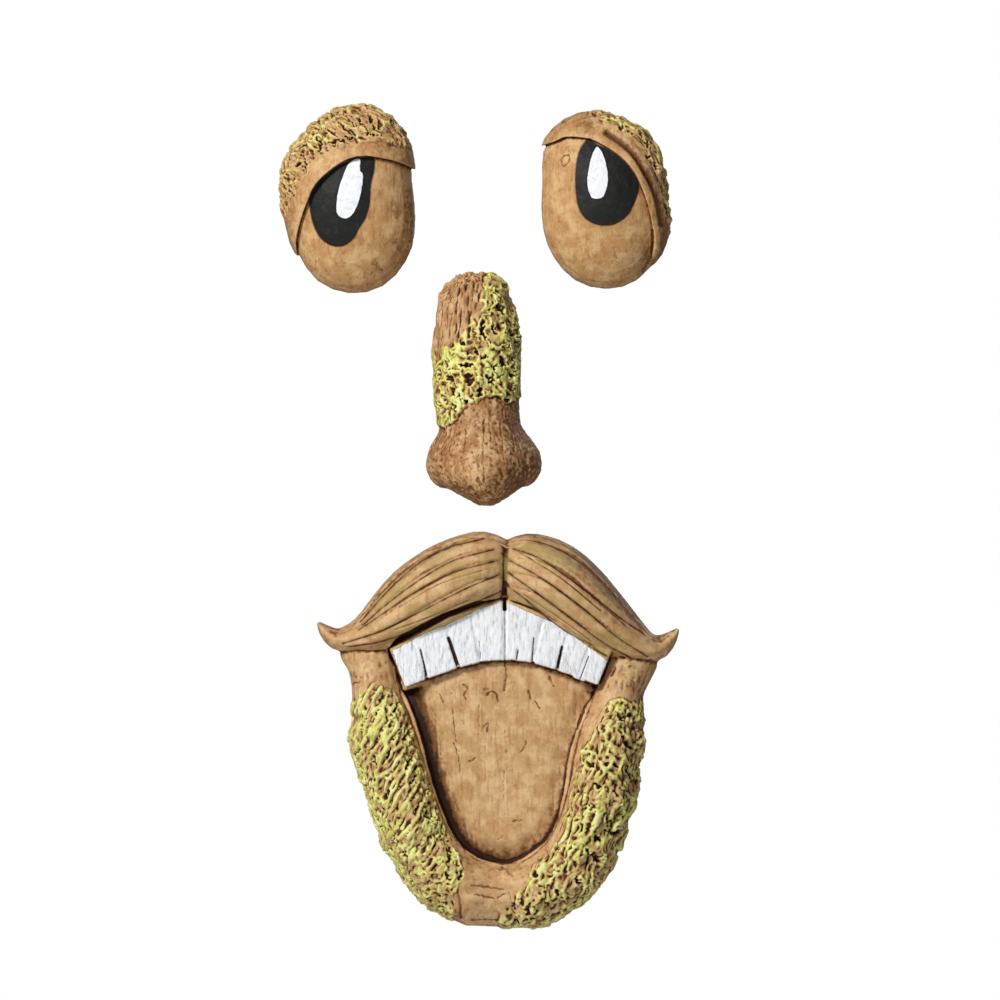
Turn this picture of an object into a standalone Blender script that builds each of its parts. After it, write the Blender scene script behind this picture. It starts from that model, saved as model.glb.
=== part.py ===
"""Tree face: two heavy-lidded eyes, a bark nose and a laughing mouth under a moustache.

Four solid resin castings with flat backs. Each hangs on one screw in a keyhole slot, and
together they make the face of an old tree. The trunk is the plane y = 0, the face looks
towards -Y and +Z is up. The origin is the middle of the nose's flat back.
"""

import math

import bmesh
import bpy
from mathutils import Vector, noise

MM = 0.001

# Overall size of each casting, and how far it stands off the trunk
EYE_HEIGHT = 85.5 * MM
LEFT_EYE_WIDTH = 60.5 * MM
RIGHT_EYE_WIDTH = 58.5 * MM
EYEBALL_DEPTH = 21.0 * MM
NOSE_WIDTH = 52.0 * MM
NOSE_HEIGHT = 104.5 * MM
NOSE_DEPTH = 36.0 * MM
MOUTH_WIDTH = 162.5 * MM
MOUTH_HEIGHT = 180.0 * MM
MOUTH_DEPTH = 27.0 * MM

# Where the middle of each casting's back sits on the trunk, measured from the nose
LEFT_EYE_X = -60.8 * MM
RIGHT_EYE_X = 55.1 * MM
EYES_Z = 86.0 * MM
MOUTH_X = 6.3 * MM
MOUTH_Z = -154.0 * MM

# Modelled details
LID_THICKNESS = 3.2 * MM
LID_OVERHANG = 2.0 * MM
LID_RIM_BAND = 5.0 * MM
LID_TAIL = 14.0 * MM
LID_TAIL_DROP = 6.0 * MM
LOCK_GROOVE_DEPTH = 1.1 * MM
LOCK_FULL_GROOVE_HALF = 8.0 * MM
TOOTH_GAP = 0.9 * MM
TOOTH_HEIGHT = 27.0 * MM
TOOTH_EDGE = 0.6 * MM
TOOTH_FRONT = 16.5 * MM
TOOTH_ROOT = 3.0 * MM
TONGUE_LIFT = 12.5 * MM
PALATE_LIFT = 10.5 * MM
BARK_RELIEF = 1.3 * MM
BARK_LAYER = 0.6 * MM
BARK_RIDGE = 9.0 * MM
BARK_STRAND = 24.0 * MM

# The screw that each casting hangs on, and its keyhole slot
SCREW_HEAD_DIAMETER = 8.0 * MM
SCREW_SHANK_DIAMETER = 4.0 * MM
SCREW_CLEARANCE = 0.5 * MM
KEYHOLE_DEPTH = 8.0 * MM
KEYHOLE_LIP = 2.5 * MM
KEYHOLE_RISE = 9.0 * MM
SLOT_STEPS = 9
# How far above the middle of its casting each keyhole is, as a share of the casting's height
NOSE_KEYHOLE_UP = 0.134
EYE_KEYHOLE_UP = 0.094
MOUTH_KEYHOLE_UP = 0.355

# Behind the trunk plane each form runs on by this much, and is then cut off flat.
# Its widest line lies a little behind the plane too, so that the cut never meets a corner.
SPARE = 3.0 * MM
WIDEST_BEHIND = 0.4 * MM

RESIN = (0.50, 0.33, 0.175, 1.0)
BARK_RESIN = (0.42, 0.30, 0.15, 1.0)


class Casting:
    """The place and size of one casting. Its forms are all made round the middle of its back."""

    def __init__(self, x, z, width, height, depth):
        self.place = Vector((x, 0.0, z))
        self.width = width
        self.height = height
        self.depth = depth

    def spot(self, across, up):
        """A point on its back, as (x, z), from shares of its width and height."""
        return Vector((across * self.width, up * self.height))


LEFT_EYE = Casting(LEFT_EYE_X, EYES_Z, LEFT_EYE_WIDTH, EYE_HEIGHT, EYEBALL_DEPTH)
RIGHT_EYE = Casting(RIGHT_EYE_X, EYES_Z, RIGHT_EYE_WIDTH, EYE_HEIGHT, EYEBALL_DEPTH)
NOSE = Casting(0.0, 0.0, NOSE_WIDTH, NOSE_HEIGHT, NOSE_DEPTH)
MOUTH = Casting(MOUTH_X, MOUTH_Z, MOUTH_WIDTH, MOUTH_HEIGHT, MOUTH_DEPTH)

# Radii of the eyeballs' outlines as shares of the eye's height, every 30 degrees from 15 upwards
LEFT_EYE_OUTLINE = (0.345, 0.422, 0.484, 0.446, 0.386, 0.344, 0.331, 0.388, 0.476, 0.498, 0.438, 0.362)
RIGHT_EYE_OUTLINE = (0.298, 0.352, 0.410, 0.456, 0.438, 0.350, 0.353, 0.408, 0.466, 0.466, 0.395, 0.322)

# Lower edge of each lid, corner to corner, as shares of the eye's width and height
LEFT_LID_EDGE = ((0.62, 0.13), (0.47, 0.162), (0.30, 0.196), (0.07, 0.208), (-0.10, 0.150),
                 (-0.235, 0.055), (-0.310, -0.045), (-0.370, -0.165), (-0.390, -0.270), (-0.330, -0.400))
RIGHT_LID_EDGE = ((-0.62, 0.270), (-0.42, 0.292), (-0.31, 0.318), (-0.13, 0.302), (0.02, 0.250),
                  (0.175, 0.158), (0.280, 0.025), (0.345, -0.130), (0.365, -0.260), (0.320, -0.420))

# Nose: middle, height, half width, lift and flare at each station, from the top down. A flare
# above 1 narrows the ridge and spreads the sides, which is what makes the nostril wings.
NOSE_STATIONS = (
    (-0.022, 0.500, 0.095, 0.16, 1.00), (-0.062, 0.478, 0.200, 0.27, 1.00),
    (-0.066, 0.432, 0.280, 0.38, 1.00), (-0.070, 0.378, 0.310, 0.45, 1.00),
    (-0.070, 0.310, 0.333, 0.50, 1.00), (-0.063, 0.210, 0.360, 0.54, 1.00),
    (-0.061, 0.110, 0.367, 0.58, 1.00), (-0.057, 0.010, 0.362, 0.62, 1.00),
    (-0.047, -0.080, 0.353, 0.67, 1.00), (-0.032, -0.150, 0.354, 0.72, 1.03),
    (-0.014, -0.194, 0.397, 0.78, 1.15), (-0.008, -0.233, 0.452, 0.85, 1.30),
    (0.000, -0.271, 0.488, 0.92, 1.40), (-0.002, -0.315, 0.502, 0.98, 1.45),
    (-0.006, -0.352, 0.492, 1.00, 1.45), (-0.008, -0.388, 0.440, 0.98, 1.35),
    (-0.002, -0.422, 0.322, 0.92, 1.15), (0.015, -0.462, 0.190, 0.76, 1.00),
    (0.020, -0.497, 0.060, 0.46, 1.00),
)
NOSE_BARK_END = -0.10
# Nostril wings: middle, half width, half height and lift
NOSE_WINGS = ((-0.325, -0.320, 0.175, 0.105, 0.60), (0.330, -0.315, 0.172, 0.103, 0.58))

# Lip and chin roll: middle, half width (share of the mouth's width) and lift, corner to corner
LIP_STATIONS = (
    (-0.372, 0.240, 0.068, 0.34), (-0.362, 0.212, 0.080, 0.44), (-0.347, 0.172, 0.073, 0.52),
    (-0.338, 0.120, 0.069, 0.62), (-0.324, 0.050, 0.083, 0.78), (-0.312, -0.018, 0.100, 0.93),
    (-0.271, -0.132, 0.097, 0.97), (-0.228, -0.243, 0.097, 1.00), (-0.170, -0.328, 0.099, 0.98),
    (-0.094, -0.385, 0.099, 0.92), (0.004, -0.401, 0.097, 0.84), (0.102, -0.392, 0.101, 0.90),
    (0.185, -0.341, 0.101, 0.96), (0.242, -0.262, 0.099, 1.00), (0.279, -0.158, 0.099, 0.97),
    (0.304, -0.033, 0.098, 0.90), (0.322, 0.045, 0.083, 0.76), (0.336, 0.105, 0.070, 0.62),
    (0.354, 0.150, 0.073, 0.52), (0.370, 0.188, 0.077, 0.44), (0.383, 0.218, 0.064, 0.34),
)
# Moustache lobes: middle, half width and lift, from the parting to the tip
LEFT_LOBE = (
    (0.034, 0.397, 0.078, 0.66), (0.014, 0.399, 0.094, 0.80), (-0.032, 0.401, 0.113, 0.95),
    (-0.067, 0.394, 0.117, 0.99), (-0.119, 0.373, 0.121, 1.00), (-0.175, 0.346, 0.119, 0.99),
    (-0.231, 0.316, 0.110, 0.95), (-0.289, 0.281, 0.092, 0.86), (-0.355, 0.247, 0.064, 0.70),
    (-0.410, 0.233, 0.042, 0.56), (-0.452, 0.234, 0.030, 0.46), (-0.483, 0.256, 0.017, 0.38),
    (-0.498, 0.274, 0.004, 0.30),
)
RIGHT_LOBE = (
    (0.004, 0.397, 0.076, 0.64), (0.024, 0.398, 0.092, 0.78), (0.068, 0.397, 0.112, 0.93),
    (0.107, 0.389, 0.118, 0.98), (0.145, 0.373, 0.120, 1.00), (0.187, 0.345, 0.118, 0.99),
    (0.238, 0.307, 0.110, 0.95), (0.295, 0.270, 0.092, 0.86), (0.358, 0.232, 0.069, 0.70),
    (0.413, 0.211, 0.047, 0.56), (0.454, 0.216, 0.033, 0.46), (0.484, 0.240, 0.017, 0.38),
    (0.499, 0.258, 0.004, 0.30),
)
# The grooves between the locks of hair, as shares of the way over the lobe from its top
LEFT_LOCK_GROOVES = (0.08, 0.22, 0.37, 0.57, 0.80)
RIGHT_LOCK_GROOVES = (0.11, 0.30, 0.50, 0.68, 0.86)
LOCK_GROOVE_HALF = 0.023
# The bark on the lips starts this far from the inner side, as shares of the way over the roll
BARK_EDGE_OVER_LIP = (0.28, 0.42)
# It stops at the cheeks, and leaves the middle of the chin bare
CHEEK_BARK_TOP = 0.095
BARE_CHIN_LEFT = -0.035
BARE_CHIN_RIGHT = 0.060
BARE_CHIN_FADE = 0.025

# The tongue panel and the palate behind the teeth: middles and half sizes
TONGUE_MIDDLE = (-0.008, -0.040)
TONGUE_HALF = (0.318, 0.380)
PALATE_MIDDLE = (0.004, 0.215)
PALATE_HALF = (0.340, 0.185)
# Teeth: the lines between them as shares of the mouth's width, and the arch of their lower edges
TOOTH_LINES = (-0.276, -0.213, -0.126, -0.064, 0.0, 0.078, 0.142, 0.202, 0.260)
TEETH_MIDDLE = (0.018, 0.183)
TEETH_SLOPE = 0.43
TEETH_BEND = 0.123


def remove_everything():
    for obj in list(bpy.data.objects):
        bpy.data.objects.remove(obj, do_unlink=True)


def new_collection(name):
    collection = bpy.data.collections.new(name)
    bpy.context.scene.collection.children.link(collection)
    return collection


def resin(name, colour, roughness):
    """A painted and waxed casting resin."""
    material = bpy.data.materials.new(name)
    material.use_nodes = True
    shader = material.node_tree.nodes["Principled BSDF"]
    shader.inputs["Base Color"].default_value = colour
    shader.inputs["Roughness"].default_value = roughness
    shader.inputs["Metallic"].default_value = 0.0
    material.diffuse_color = colour
    return material


def object_from(name, mesh_data, casting, collection, rounded=True):
    """An object from a bmesh, in flat triangles that all face out, as the Booleans like best."""
    mesh_data.normal_update()
    bmesh.ops.triangulate(mesh_data, faces=mesh_data.faces)
    bmesh.ops.recalc_face_normals(mesh_data, faces=mesh_data.faces)
    mesh = bpy.data.meshes.new(name)
    mesh_data.to_mesh(mesh)
    mesh_data.free()
    if rounded:
        mesh.shade_smooth()
    obj = bpy.data.objects.new(name, mesh)
    obj.location = casting.place
    collection.objects.link(obj)
    return obj


def boolean(target, shapes, operation, tools):
    """One exact Boolean with all of the shapes at once, kept together in a collection of their own."""
    name = target.name + "_" + operation.lower()
    together = bpy.data.collections.new(name)
    tools.children.link(together)
    for shape in shapes:
        shape.hide_render = True
        shape.display_type = "WIRE"
        for collection in shape.users_collection:
            collection.objects.unlink(shape)
        together.objects.link(shape)
    modifier = target.modifiers.new(name, "BOOLEAN")
    modifier.operation = operation
    modifier.solver = "EXACT"
    modifier.operand_type = "COLLECTION"
    modifier.collection = together


def between(values, position):
    """Catmull-Rom interpolation through a list of equal-length rows, ends held."""
    last = len(values) - 1
    index = min(int(position), last - 1)
    t = position - index
    a = values[max(index - 1, 0)]
    b = values[index]
    c = values[index + 1]
    d = values[min(index + 2, last)]
    return [
        0.5 * (2 * q + (r - p) * t + (2 * p - 5 * q + 4 * r - s) * t * t + (3 * q - p - 3 * r + s) * t ** 3)
        for p, q, r, s in zip(a, b, c, d)
    ]


def smooth_line(points, steps):
    return [between(points, i / steps) for i in range((len(points) - 1) * steps + 1)]


def ease(value, low, high):
    """0 below low, 1 above high, and a smooth step between."""
    t = min(1.0, max(0.0, (value - low) / (high - low)))
    return t * t * (3 - 2 * t)


def stand_off(share, lift):
    """The y of a point whose form rises to this lift, at a share of it. 0 is the form's widest line."""
    return WIDEST_BEHIND - share * (lift + WIDEST_BEHIND)


def strands(x, z, angle):
    """Bark relief from -1 to 1: long ridges that run along the angle, broken and wandering."""
    wander = noise.noise(Vector((x, 0.0, z)) / BARK_STRAND)
    turned = angle + 0.5 * wander
    along = x * math.cos(turned) + z * math.sin(turned)
    across = z * math.cos(turned) - x * math.sin(turned)
    ridge = noise.noise(Vector((along / BARK_STRAND, 0.0, across / BARK_RIDGE)))
    return max(-1.0, min(1.0, 2.2 * ridge))


def dome(name, casting, outline, depth, overhang, segments, rings, collection, relief=None):
    """A rounded cushion over an outline given as radii, with its back run on behind the trunk plane."""
    count = len(outline)
    radii = [(radius,) for radius in outline + outline[:3]]
    mesh_data = bmesh.new()
    bmesh.ops.create_uvsphere(mesh_data, u_segments=segments, v_segments=rings, radius=1.0)
    for vertex in mesh_data.verts:
        sideways, upward, forward = vertex.co
        reach = math.hypot(sideways, upward)
        turn = math.atan2(upward, sideways) % (2 * math.pi)
        position = 1 + (turn / (2 * math.pi) * count - 1.5) % count
        radius = between(radii, position)[0] * casting.height + overhang
        flat = Vector((math.cos(turn), math.sin(turn))) * reach
        y = stand_off(forward, depth) if forward > 0 else WIDEST_BEHIND - forward * SPARE
        raised = relief(flat.x * radius, flat.y * radius) if relief else 0.0
        y -= raised * ease(forward, 0.0, 0.3)
        flat *= radius + 0.6 * raised
        vertex.co = (flat.x, y, flat.y)
    return object_from(name, mesh_data, casting, collection)


def prism(name, points, front, back, casting, collection):
    """A straight block from y = front to y = back, over a closed outline of (x, z) points."""
    curve = bpy.data.curves.new(name, "CURVE")
    curve.dimensions = "2D"
    curve.fill_mode = "BOTH"
    curve.extrude = (back - front) / 2
    spline = curve.splines.new("POLY")
    spline.points.add(len(points) - 1)
    for point, (x, z) in zip(spline.points, points):
        point.co = (x, z, 0.0, 1.0)
    spline.use_cyclic_u = True
    drawn = bpy.data.objects.new(name + "_outline", curve)
    collection.objects.link(drawn)
    drawn.location.y = (front + back) / 2
    drawn.rotation_euler = (math.pi / 2, 0.0, 0.0)
    bpy.context.view_layer.update()
    graph = bpy.context.evaluated_depsgraph_get()
    mesh = bpy.data.meshes.new_from_object(drawn.evaluated_get(graph))
    mesh_data = bmesh.new()
    mesh_data.from_mesh(mesh)
    bmesh.ops.transform(mesh_data, matrix=drawn.matrix_world, verts=mesh_data.verts)
    bmesh.ops.remove_doubles(mesh_data, verts=mesh_data.verts, dist=0.01 * MM)
    bpy.data.objects.remove(drawn)
    bpy.data.meshes.remove(mesh)
    return object_from(name, mesh_data, casting, collection, rounded=False)


def loft(name, rings, casting, collection):
    """A closed skin over rings of points that all have as many points."""
    mesh_data = bmesh.new()
    loops = [[mesh_data.verts.new(point) for point in ring] for ring in rings]
    count = len(loops[0])
    for near, far in zip(loops, loops[1:]):
        for i in range(count):
            j = (i + 1) % count
            mesh_data.faces.new((near[i], near[j], far[j], far[i]))
    mesh_data.faces.new(loops[0])
    mesh_data.faces.new(loops[-1])
    return object_from(name, mesh_data, casting, collection)


def roll(name, casting, stations, steps, front, groove, relief, spare, collection, heading=None):
    """A rounded roll along a line of stations: (across, up, half width, lift, flare) as shares.

    The front is a list of (angle over the roll, share of the groove's depth cut there). Its rings
    stand square to the line, or to one heading where that is given.
    """
    rows = smooth_line(stations, steps)
    middles = [casting.spot(row[0], row[1]) for row in rows]
    rings = []
    for i, row in enumerate(rows):
        along = heading or (middles[min(i + 1, len(rows) - 1)] - middles[max(i - 1, 0)]).normalized()
        sideways = Vector((-along.y, along.x))
        half = max(row[2], 0.002) * casting.width
        lift = max(row[3], 0.02) * casting.depth
        flare = row[4] if len(row) > 4 else 1.0
        ring = []
        for angle, cut in front:
            cut_depth = cut * groove * min(1.0, half / LOCK_FULL_GROOVE_HALF)
            y = stand_off(max(0.0, math.sin(angle)) ** flare, lift) + cut_depth
            flat = middles[i] + sideways * half * math.cos(angle)
            if relief:
                raised = relief(flat.x, flat.y, angle / math.pi)
                y -= raised * math.sin(angle)
                flat += sideways * raised * 0.7 * math.cos(angle)
            ring.append((flat.x, min(y, stand_off(0.2 * math.sin(angle), lift)), flat.y))
        for angle in (1.1 * math.pi, 1.3 * math.pi, 1.7 * math.pi, 1.9 * math.pi):
            flat = middles[i] + sideways * half * math.cos(angle)
            ring.append((flat.x, WIDEST_BEHIND - spare * math.sin(angle), flat.y))
        rings.append(ring)
    return loft(name, rings, casting, collection)


def plain_front(count):
    """Evenly spaced angles over the front of a roll, with nothing cut in."""
    return [(math.pi * i / count, 0.0) for i in range(count + 1)]


def locked_front(grooves):
    """Angles over the front of a lobe, with a V groove at each share of the way over it."""
    points = [(0.0, 0.0)]
    last = 0.0
    for groove in grooves:
        points.append(((last + groove) / 2, -0.3))
        points.append((groove - LOCK_GROOVE_HALF, 0.0))
        points.append((groove, 1.0))
        points.append((groove + LOCK_GROOVE_HALF, 0.0))
        last = groove
    points.append(((last + 1) / 2, -0.3))
    points.append((1.0, 0.0))
    return [(math.acos(1 - 2 * share), cut) for share, cut in points]


def ball(name, casting, middle, half, lift, segments, rings, spare, collection):
    """An ellipsoid centred on the casting's back: its middle and half sizes are shares of the casting."""
    centre = casting.spot(*middle)
    reach = casting.spot(*half)
    mesh_data = bmesh.new()
    bmesh.ops.create_uvsphere(mesh_data, u_segments=segments, v_segments=rings, radius=1.0)
    for vertex in mesh_data.verts:
        sideways, forward, upward = vertex.co
        y = stand_off(forward, lift) if forward > 0 else WIDEST_BEHIND - forward * spare
        vertex.co = (centre.x + sideways * reach.x, y, centre.y + upward * reach.y)
    return object_from(name, mesh_data, casting, collection)


def block(name, casting, middle, size, turn, edge, collection):
    """A box with rounded edges, turned in the plane of the trunk."""
    mesh_data = bmesh.new()
    bmesh.ops.create_cube(mesh_data, size=1.0)
    bmesh.ops.scale(mesh_data, vec=size, verts=mesh_data.verts)
    if edge:
        bmesh.ops.bevel(mesh_data, geom=mesh_data.edges[:], offset=edge, segments=1, affect="EDGES")
    obj = object_from(name, mesh_data, casting, collection, rounded=False)
    obj.location = casting.place + middle
    obj.rotation_euler = (0.0, turn, 0.0)
    return obj


def trunk(name, casting, tools):
    """Everything behind the trunk plane, as a block."""
    side = 4 * casting.height
    return block(name, casting, Vector((0.0, side / 2, 0.0)), Vector((side, side, side)), 0.0, 0.0, tools)


def slot(low, high, low_radius, high_radius):
    """The outline of a round hole that narrows into a slot with a round end above it."""
    meet = math.acos(high_radius / low_radius)
    below = [math.pi - meet + (math.pi + 2 * meet) * i / SLOT_STEPS for i in range(SLOT_STEPS + 1)]
    above = [math.pi * i / SLOT_STEPS for i in range(SLOT_STEPS + 1)]
    return (
        [low + Vector((math.cos(angle), math.sin(angle))) * low_radius for angle in below]
        + [high + Vector((math.cos(angle), math.sin(angle))) * high_radius for angle in above]
    )


def keyhole(name, casting, up, tools):
    """Cutters for a blind keyhole: the screw's head goes in at the middle and slides up behind a lip."""
    middle = casting.spot(0.0, up)
    head = SCREW_HEAD_DIAMETER / 2 + SCREW_CLEARANCE
    neck = SCREW_SHANK_DIAMETER / 2 + SCREW_CLEARANCE
    room = head + SCREW_CLEARANCE / 2
    rest = middle + Vector((0.0, KEYHOLE_RISE))
    way_in = (KEYHOLE_LIP + KEYHOLE_DEPTH) / 2
    return [
        prism(name + "_way_in", slot(middle, rest, head, neck), -way_in, SPARE, casting, tools),
        prism(name + "_room", slot(middle, rest, room, room), -KEYHOLE_DEPTH, -KEYHOLE_LIP, casting, tools),
    ]


def finish(obj, casting, forms, keyhole_up, tools):
    """Joins a casting's forms, cuts its back off flat and cuts the keyhole into it."""
    boolean(obj, forms, "UNION", tools)
    behind = trunk(obj.name + "_trunk", casting, tools)
    boolean(obj, [behind] + keyhole(obj.name, casting, keyhole_up, tools), "DIFFERENCE", tools)
    return obj


def make_eye(name, casting, outline, lid_edge, parts, tools):
    """An egg-shaped eyeball under a thick lid that has a smooth rim and bark above it.

    At its outer corner the lid sinks into the eyeball, so that its edge dies away there.
    """
    side = 1 if casting.place.x > 0 else -1
    edge = [casting.spot(*point) for point in smooth_line(lid_edge, 3)]

    def lid_relief(x, z):
        to_rim = min((Vector((x, z)) - point).length for point in edge)
        bark = ease(to_rim, LID_RIM_BAND, 2 * LID_RIM_BAND) * strands(x, z, math.atan2(z, x) + math.pi / 2)
        to_tail = (Vector((x, z)) - edge[-1]).length
        return BARK_RELIEF * bark - LID_TAIL_DROP * (1 - ease(to_tail, 0.0, LID_TAIL))

    eyeball = dome(name, casting, outline, casting.depth, 0.0, 34, 16, parts)
    lid_depth = casting.depth + LID_THICKNESS
    lid = dome(name + "_lid", casting, outline, lid_depth, LID_OVERHANG, 40, 20, tools, lid_relief)
    beyond = casting.height
    corners = [
        Vector((edge[-1].x + side * beyond, -0.55 * beyond)),
        Vector((edge[-1].x + side * beyond, beyond)),
        Vector((edge[0].x - side * 0.2 * beyond, beyond)),
    ]
    region = prism(name + "_lid_region", edge + corners, -2 * casting.depth, 2 * SPARE, casting, tools)
    boolean(lid, [region], "INTERSECT", tools)
    return finish(eyeball, casting, [lid], EYE_KEYHOLE_UP, tools)


def make_nose(parts, tools):
    """A bark-covered bridge that swells into a smooth tip, with a wing on either side."""
    bark_ends = NOSE_BARK_END * NOSE.height

    def bark(x, z, over):
        return BARK_RELIEF * ease(z, bark_ends, bark_ends + BARK_RIDGE) * strands(x, z, math.pi / 2)

    down = Vector((0.0, -1.0))
    nose = roll("nose", NOSE, NOSE_STATIONS, 2, plain_front(14), 0.0, bark, SPARE, parts, down)
    wings = [
        ball(f"nose_wing_{i}", NOSE, (across, up), (half_width, half_height), lift * NOSE.depth,
             16, 10, 0.8 * SPARE, tools)
        for i, (across, up, half_width, half_height, lift) in enumerate(NOSE_WINGS)
    ]
    return finish(nose, NOSE, wings, NOSE_KEYHOLE_UP, tools)


def teeth(tools):
    """Upper teeth set along a shallow arch, each square to it, their roots up under the moustache."""
    made = []
    centre = MOUTH.spot(*TEETH_MIDDLE)
    bend_length = TEETH_BEND * MOUTH.width
    for i, (left, right) in enumerate(zip(TOOTH_LINES, TOOTH_LINES[1:])):
        across = (left + right) / 2 * MOUTH.width
        bend = math.hypot(1.0, across / bend_length)
        slope = math.atan(TEETH_SLOPE * across / bend_length / bend)
        foot = Vector((centre.x + across, centre.y - TEETH_SLOPE * bend_length * (bend - 1)))
        up = Vector((math.sin(slope), math.cos(slope))) * TOOTH_HEIGHT / 2
        middle = Vector((foot.x + up.x, -(TOOTH_FRONT + TOOTH_ROOT) / 2, foot.y + up.y))
        width = (right - left) * MOUTH.width / math.cos(slope) - TOOTH_GAP
        size = Vector((width, TOOTH_FRONT - TOOTH_ROOT, TOOTH_HEIGHT))
        tooth = block(f"tooth_{i}", MOUTH, middle, size, slope, TOOTH_EDGE, tools)
        spread = 1 + TEETH_SLOPE / bend_length / bend ** 3 * TOOTH_HEIGHT
        for vertex in tooth.data.vertices:
            if vertex.co.z > 0:
                vertex.co.x *= spread
        made.append(tooth)
    return made


def flatten(cushion, lift):
    """Turns an ellipsoid's front into a nearly flat panel with a rounded rim."""
    for vertex in cushion.data.vertices:
        share = min(1.0, -vertex.co.y / lift)
        if share > 0:
            vertex.co.y = -lift * (1 - (1 - share) ** 2.2)


def make_mouth(parts, tools):
    """A thick U of lip and chin round a tongue, teeth above it and a moustache over all."""
    bark_top = CHEEK_BARK_TOP * MOUTH.height
    bare_left = BARE_CHIN_LEFT * MOUTH.width
    bare_right = BARE_CHIN_RIGHT * MOUTH.width
    bare_fade = BARE_CHIN_FADE * MOUTH.width

    def lip_bark(x, z, over):
        lean = 0.36 * math.pi if x < bare_left else 0.42 * math.pi
        off_chin = max(ease(bare_left - x, 0.0, bare_fade), ease(x - bare_right, 0.0, bare_fade))
        below_cheek = 1 - ease(z, bark_top - BARK_RIDGE, bark_top)
        mask = ease(over, *BARK_EDGE_OVER_LIP) * off_chin * below_cheek
        return mask * (BARK_LAYER + BARK_RELIEF * strands(x, z, lean))

    mouth = roll("mouth", MOUTH, LIP_STATIONS, 3, plain_front(11), 0.0, lip_bark, SPARE, parts)
    forms = teeth(tools)
    for name, middle, half, lift, spare in (
        ("tongue", TONGUE_MIDDLE, TONGUE_HALF, TONGUE_LIFT, 0.8 * SPARE),
        ("palate", PALATE_MIDDLE, PALATE_HALF, PALATE_LIFT, 0.6 * SPARE),
    ):
        panel = ball(name, MOUTH, middle, half, lift, 24, 10, spare, tools)
        flatten(panel, lift)
        forms.append(panel)
    left_locks = locked_front([1 - groove for groove in reversed(LEFT_LOCK_GROOVES)])
    right_locks = locked_front(RIGHT_LOCK_GROOVES)
    for name, stations, locks, spare in (
        ("left_lobe", LEFT_LOBE, left_locks, 1.3 * SPARE),
        ("right_lobe", RIGHT_LOBE, right_locks, 1.6 * SPARE),
    ):
        forms.append(roll(name, MOUTH, stations, 2, locks, LOCK_GROOVE_DEPTH, None, spare, tools))
    return finish(mouth, MOUTH, forms, MOUTH_KEYHOLE_UP, tools)


def main():
    remove_everything()
    parts = new_collection("tree_face")
    tools = new_collection("cutters")
    eyes = (
        ("left_eye", LEFT_EYE, LEFT_EYE_OUTLINE, LEFT_LID_EDGE),
        ("right_eye", RIGHT_EYE, RIGHT_EYE_OUTLINE, RIGHT_LID_EDGE),
    )
    castings = [make_eye(*eye, parts, tools) for eye in eyes]
    castings += [make_nose(parts, tools), make_mouth(parts, tools)]
    for obj in castings:
        colour = BARK_RESIN if obj.name == "nose" else RESIN
        obj.data.materials.append(resin(obj.name + "_resin", colour, 0.55))


main()
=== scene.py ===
# %% [markdown]
# # A tree face in painted resin
# Two eyes, a nose and a laughing mouth hang on a tree trunk. Each is one solid casting with a
# flat back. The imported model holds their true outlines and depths, with coarse facets, so it
# is loaded first and every visible casting starts as a copy of its solid. The copies then get
# what a sculptor's fine tools would add: bark, moss, hair, pits and scratches.

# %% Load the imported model
import math

import bpy
import numpy as np
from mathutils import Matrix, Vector, noise


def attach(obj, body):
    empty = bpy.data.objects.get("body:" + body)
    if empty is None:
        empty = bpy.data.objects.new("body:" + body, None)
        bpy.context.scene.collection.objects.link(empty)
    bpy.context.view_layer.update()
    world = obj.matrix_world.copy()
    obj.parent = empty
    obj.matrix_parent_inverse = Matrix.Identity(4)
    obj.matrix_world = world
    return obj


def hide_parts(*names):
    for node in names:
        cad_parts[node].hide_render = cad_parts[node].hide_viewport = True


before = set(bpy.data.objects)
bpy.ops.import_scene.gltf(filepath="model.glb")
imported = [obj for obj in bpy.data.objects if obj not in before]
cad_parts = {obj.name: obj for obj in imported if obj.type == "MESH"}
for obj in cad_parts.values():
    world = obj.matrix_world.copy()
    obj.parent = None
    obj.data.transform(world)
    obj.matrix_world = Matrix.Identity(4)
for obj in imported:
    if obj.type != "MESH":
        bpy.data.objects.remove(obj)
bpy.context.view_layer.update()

MM = 0.001
print("solids:", sorted(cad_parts))

# %% [markdown]
# ## Places on the trunk
# The trunk is the plane y = 0 and the face looks towards -Y. Everything painted or carved was
# measured on the photograph, so one helper turns its pixels into places on the trunk.

# %% From the photograph to the trunk
PIXEL = 0.45 * MM
ORIGIN_PIXEL = np.array((484.0, 390.0))


def on_trunk(pixels):
    """Photograph pixels as (x, z) places on the trunk plane, in metres."""
    offset = (np.array(pixels, float) - ORIGIN_PIXEL) * PIXEL
    return offset * (1, -1)


def drawn_through(pixels, closed=False, steps=6):
    """A smooth line of (x, z) places through a few photograph pixels."""
    knots = on_trunk(pixels)
    if closed:
        knots = np.vstack((knots[-1], knots, knots[0], knots[1]))
    else:
        knots = np.vstack((2 * knots[0] - knots[1], knots, 2 * knots[-1] - knots[-2]))
    line = []
    for before, start, end, after in zip(knots, knots[1:], knots[2:], knots[3:]):
        for t in np.arange(steps) / steps:
            line.append(0.5 * (2 * start + (end - before) * t
                               + (2 * before - 5 * start + 4 * end - after) * t * t
                               + (3 * start - before - 3 * end + after) * t ** 3))
    if not closed:
        line.append(knots[-2])
    return np.array(line)


# %% [markdown]
# ## Measuring from drawn lines
# Paint edges and carved lines are kept as distances. A distance changes evenly from one vertex
# to the next, so the edge drawn from it is much sharper than the mesh is.

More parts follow.
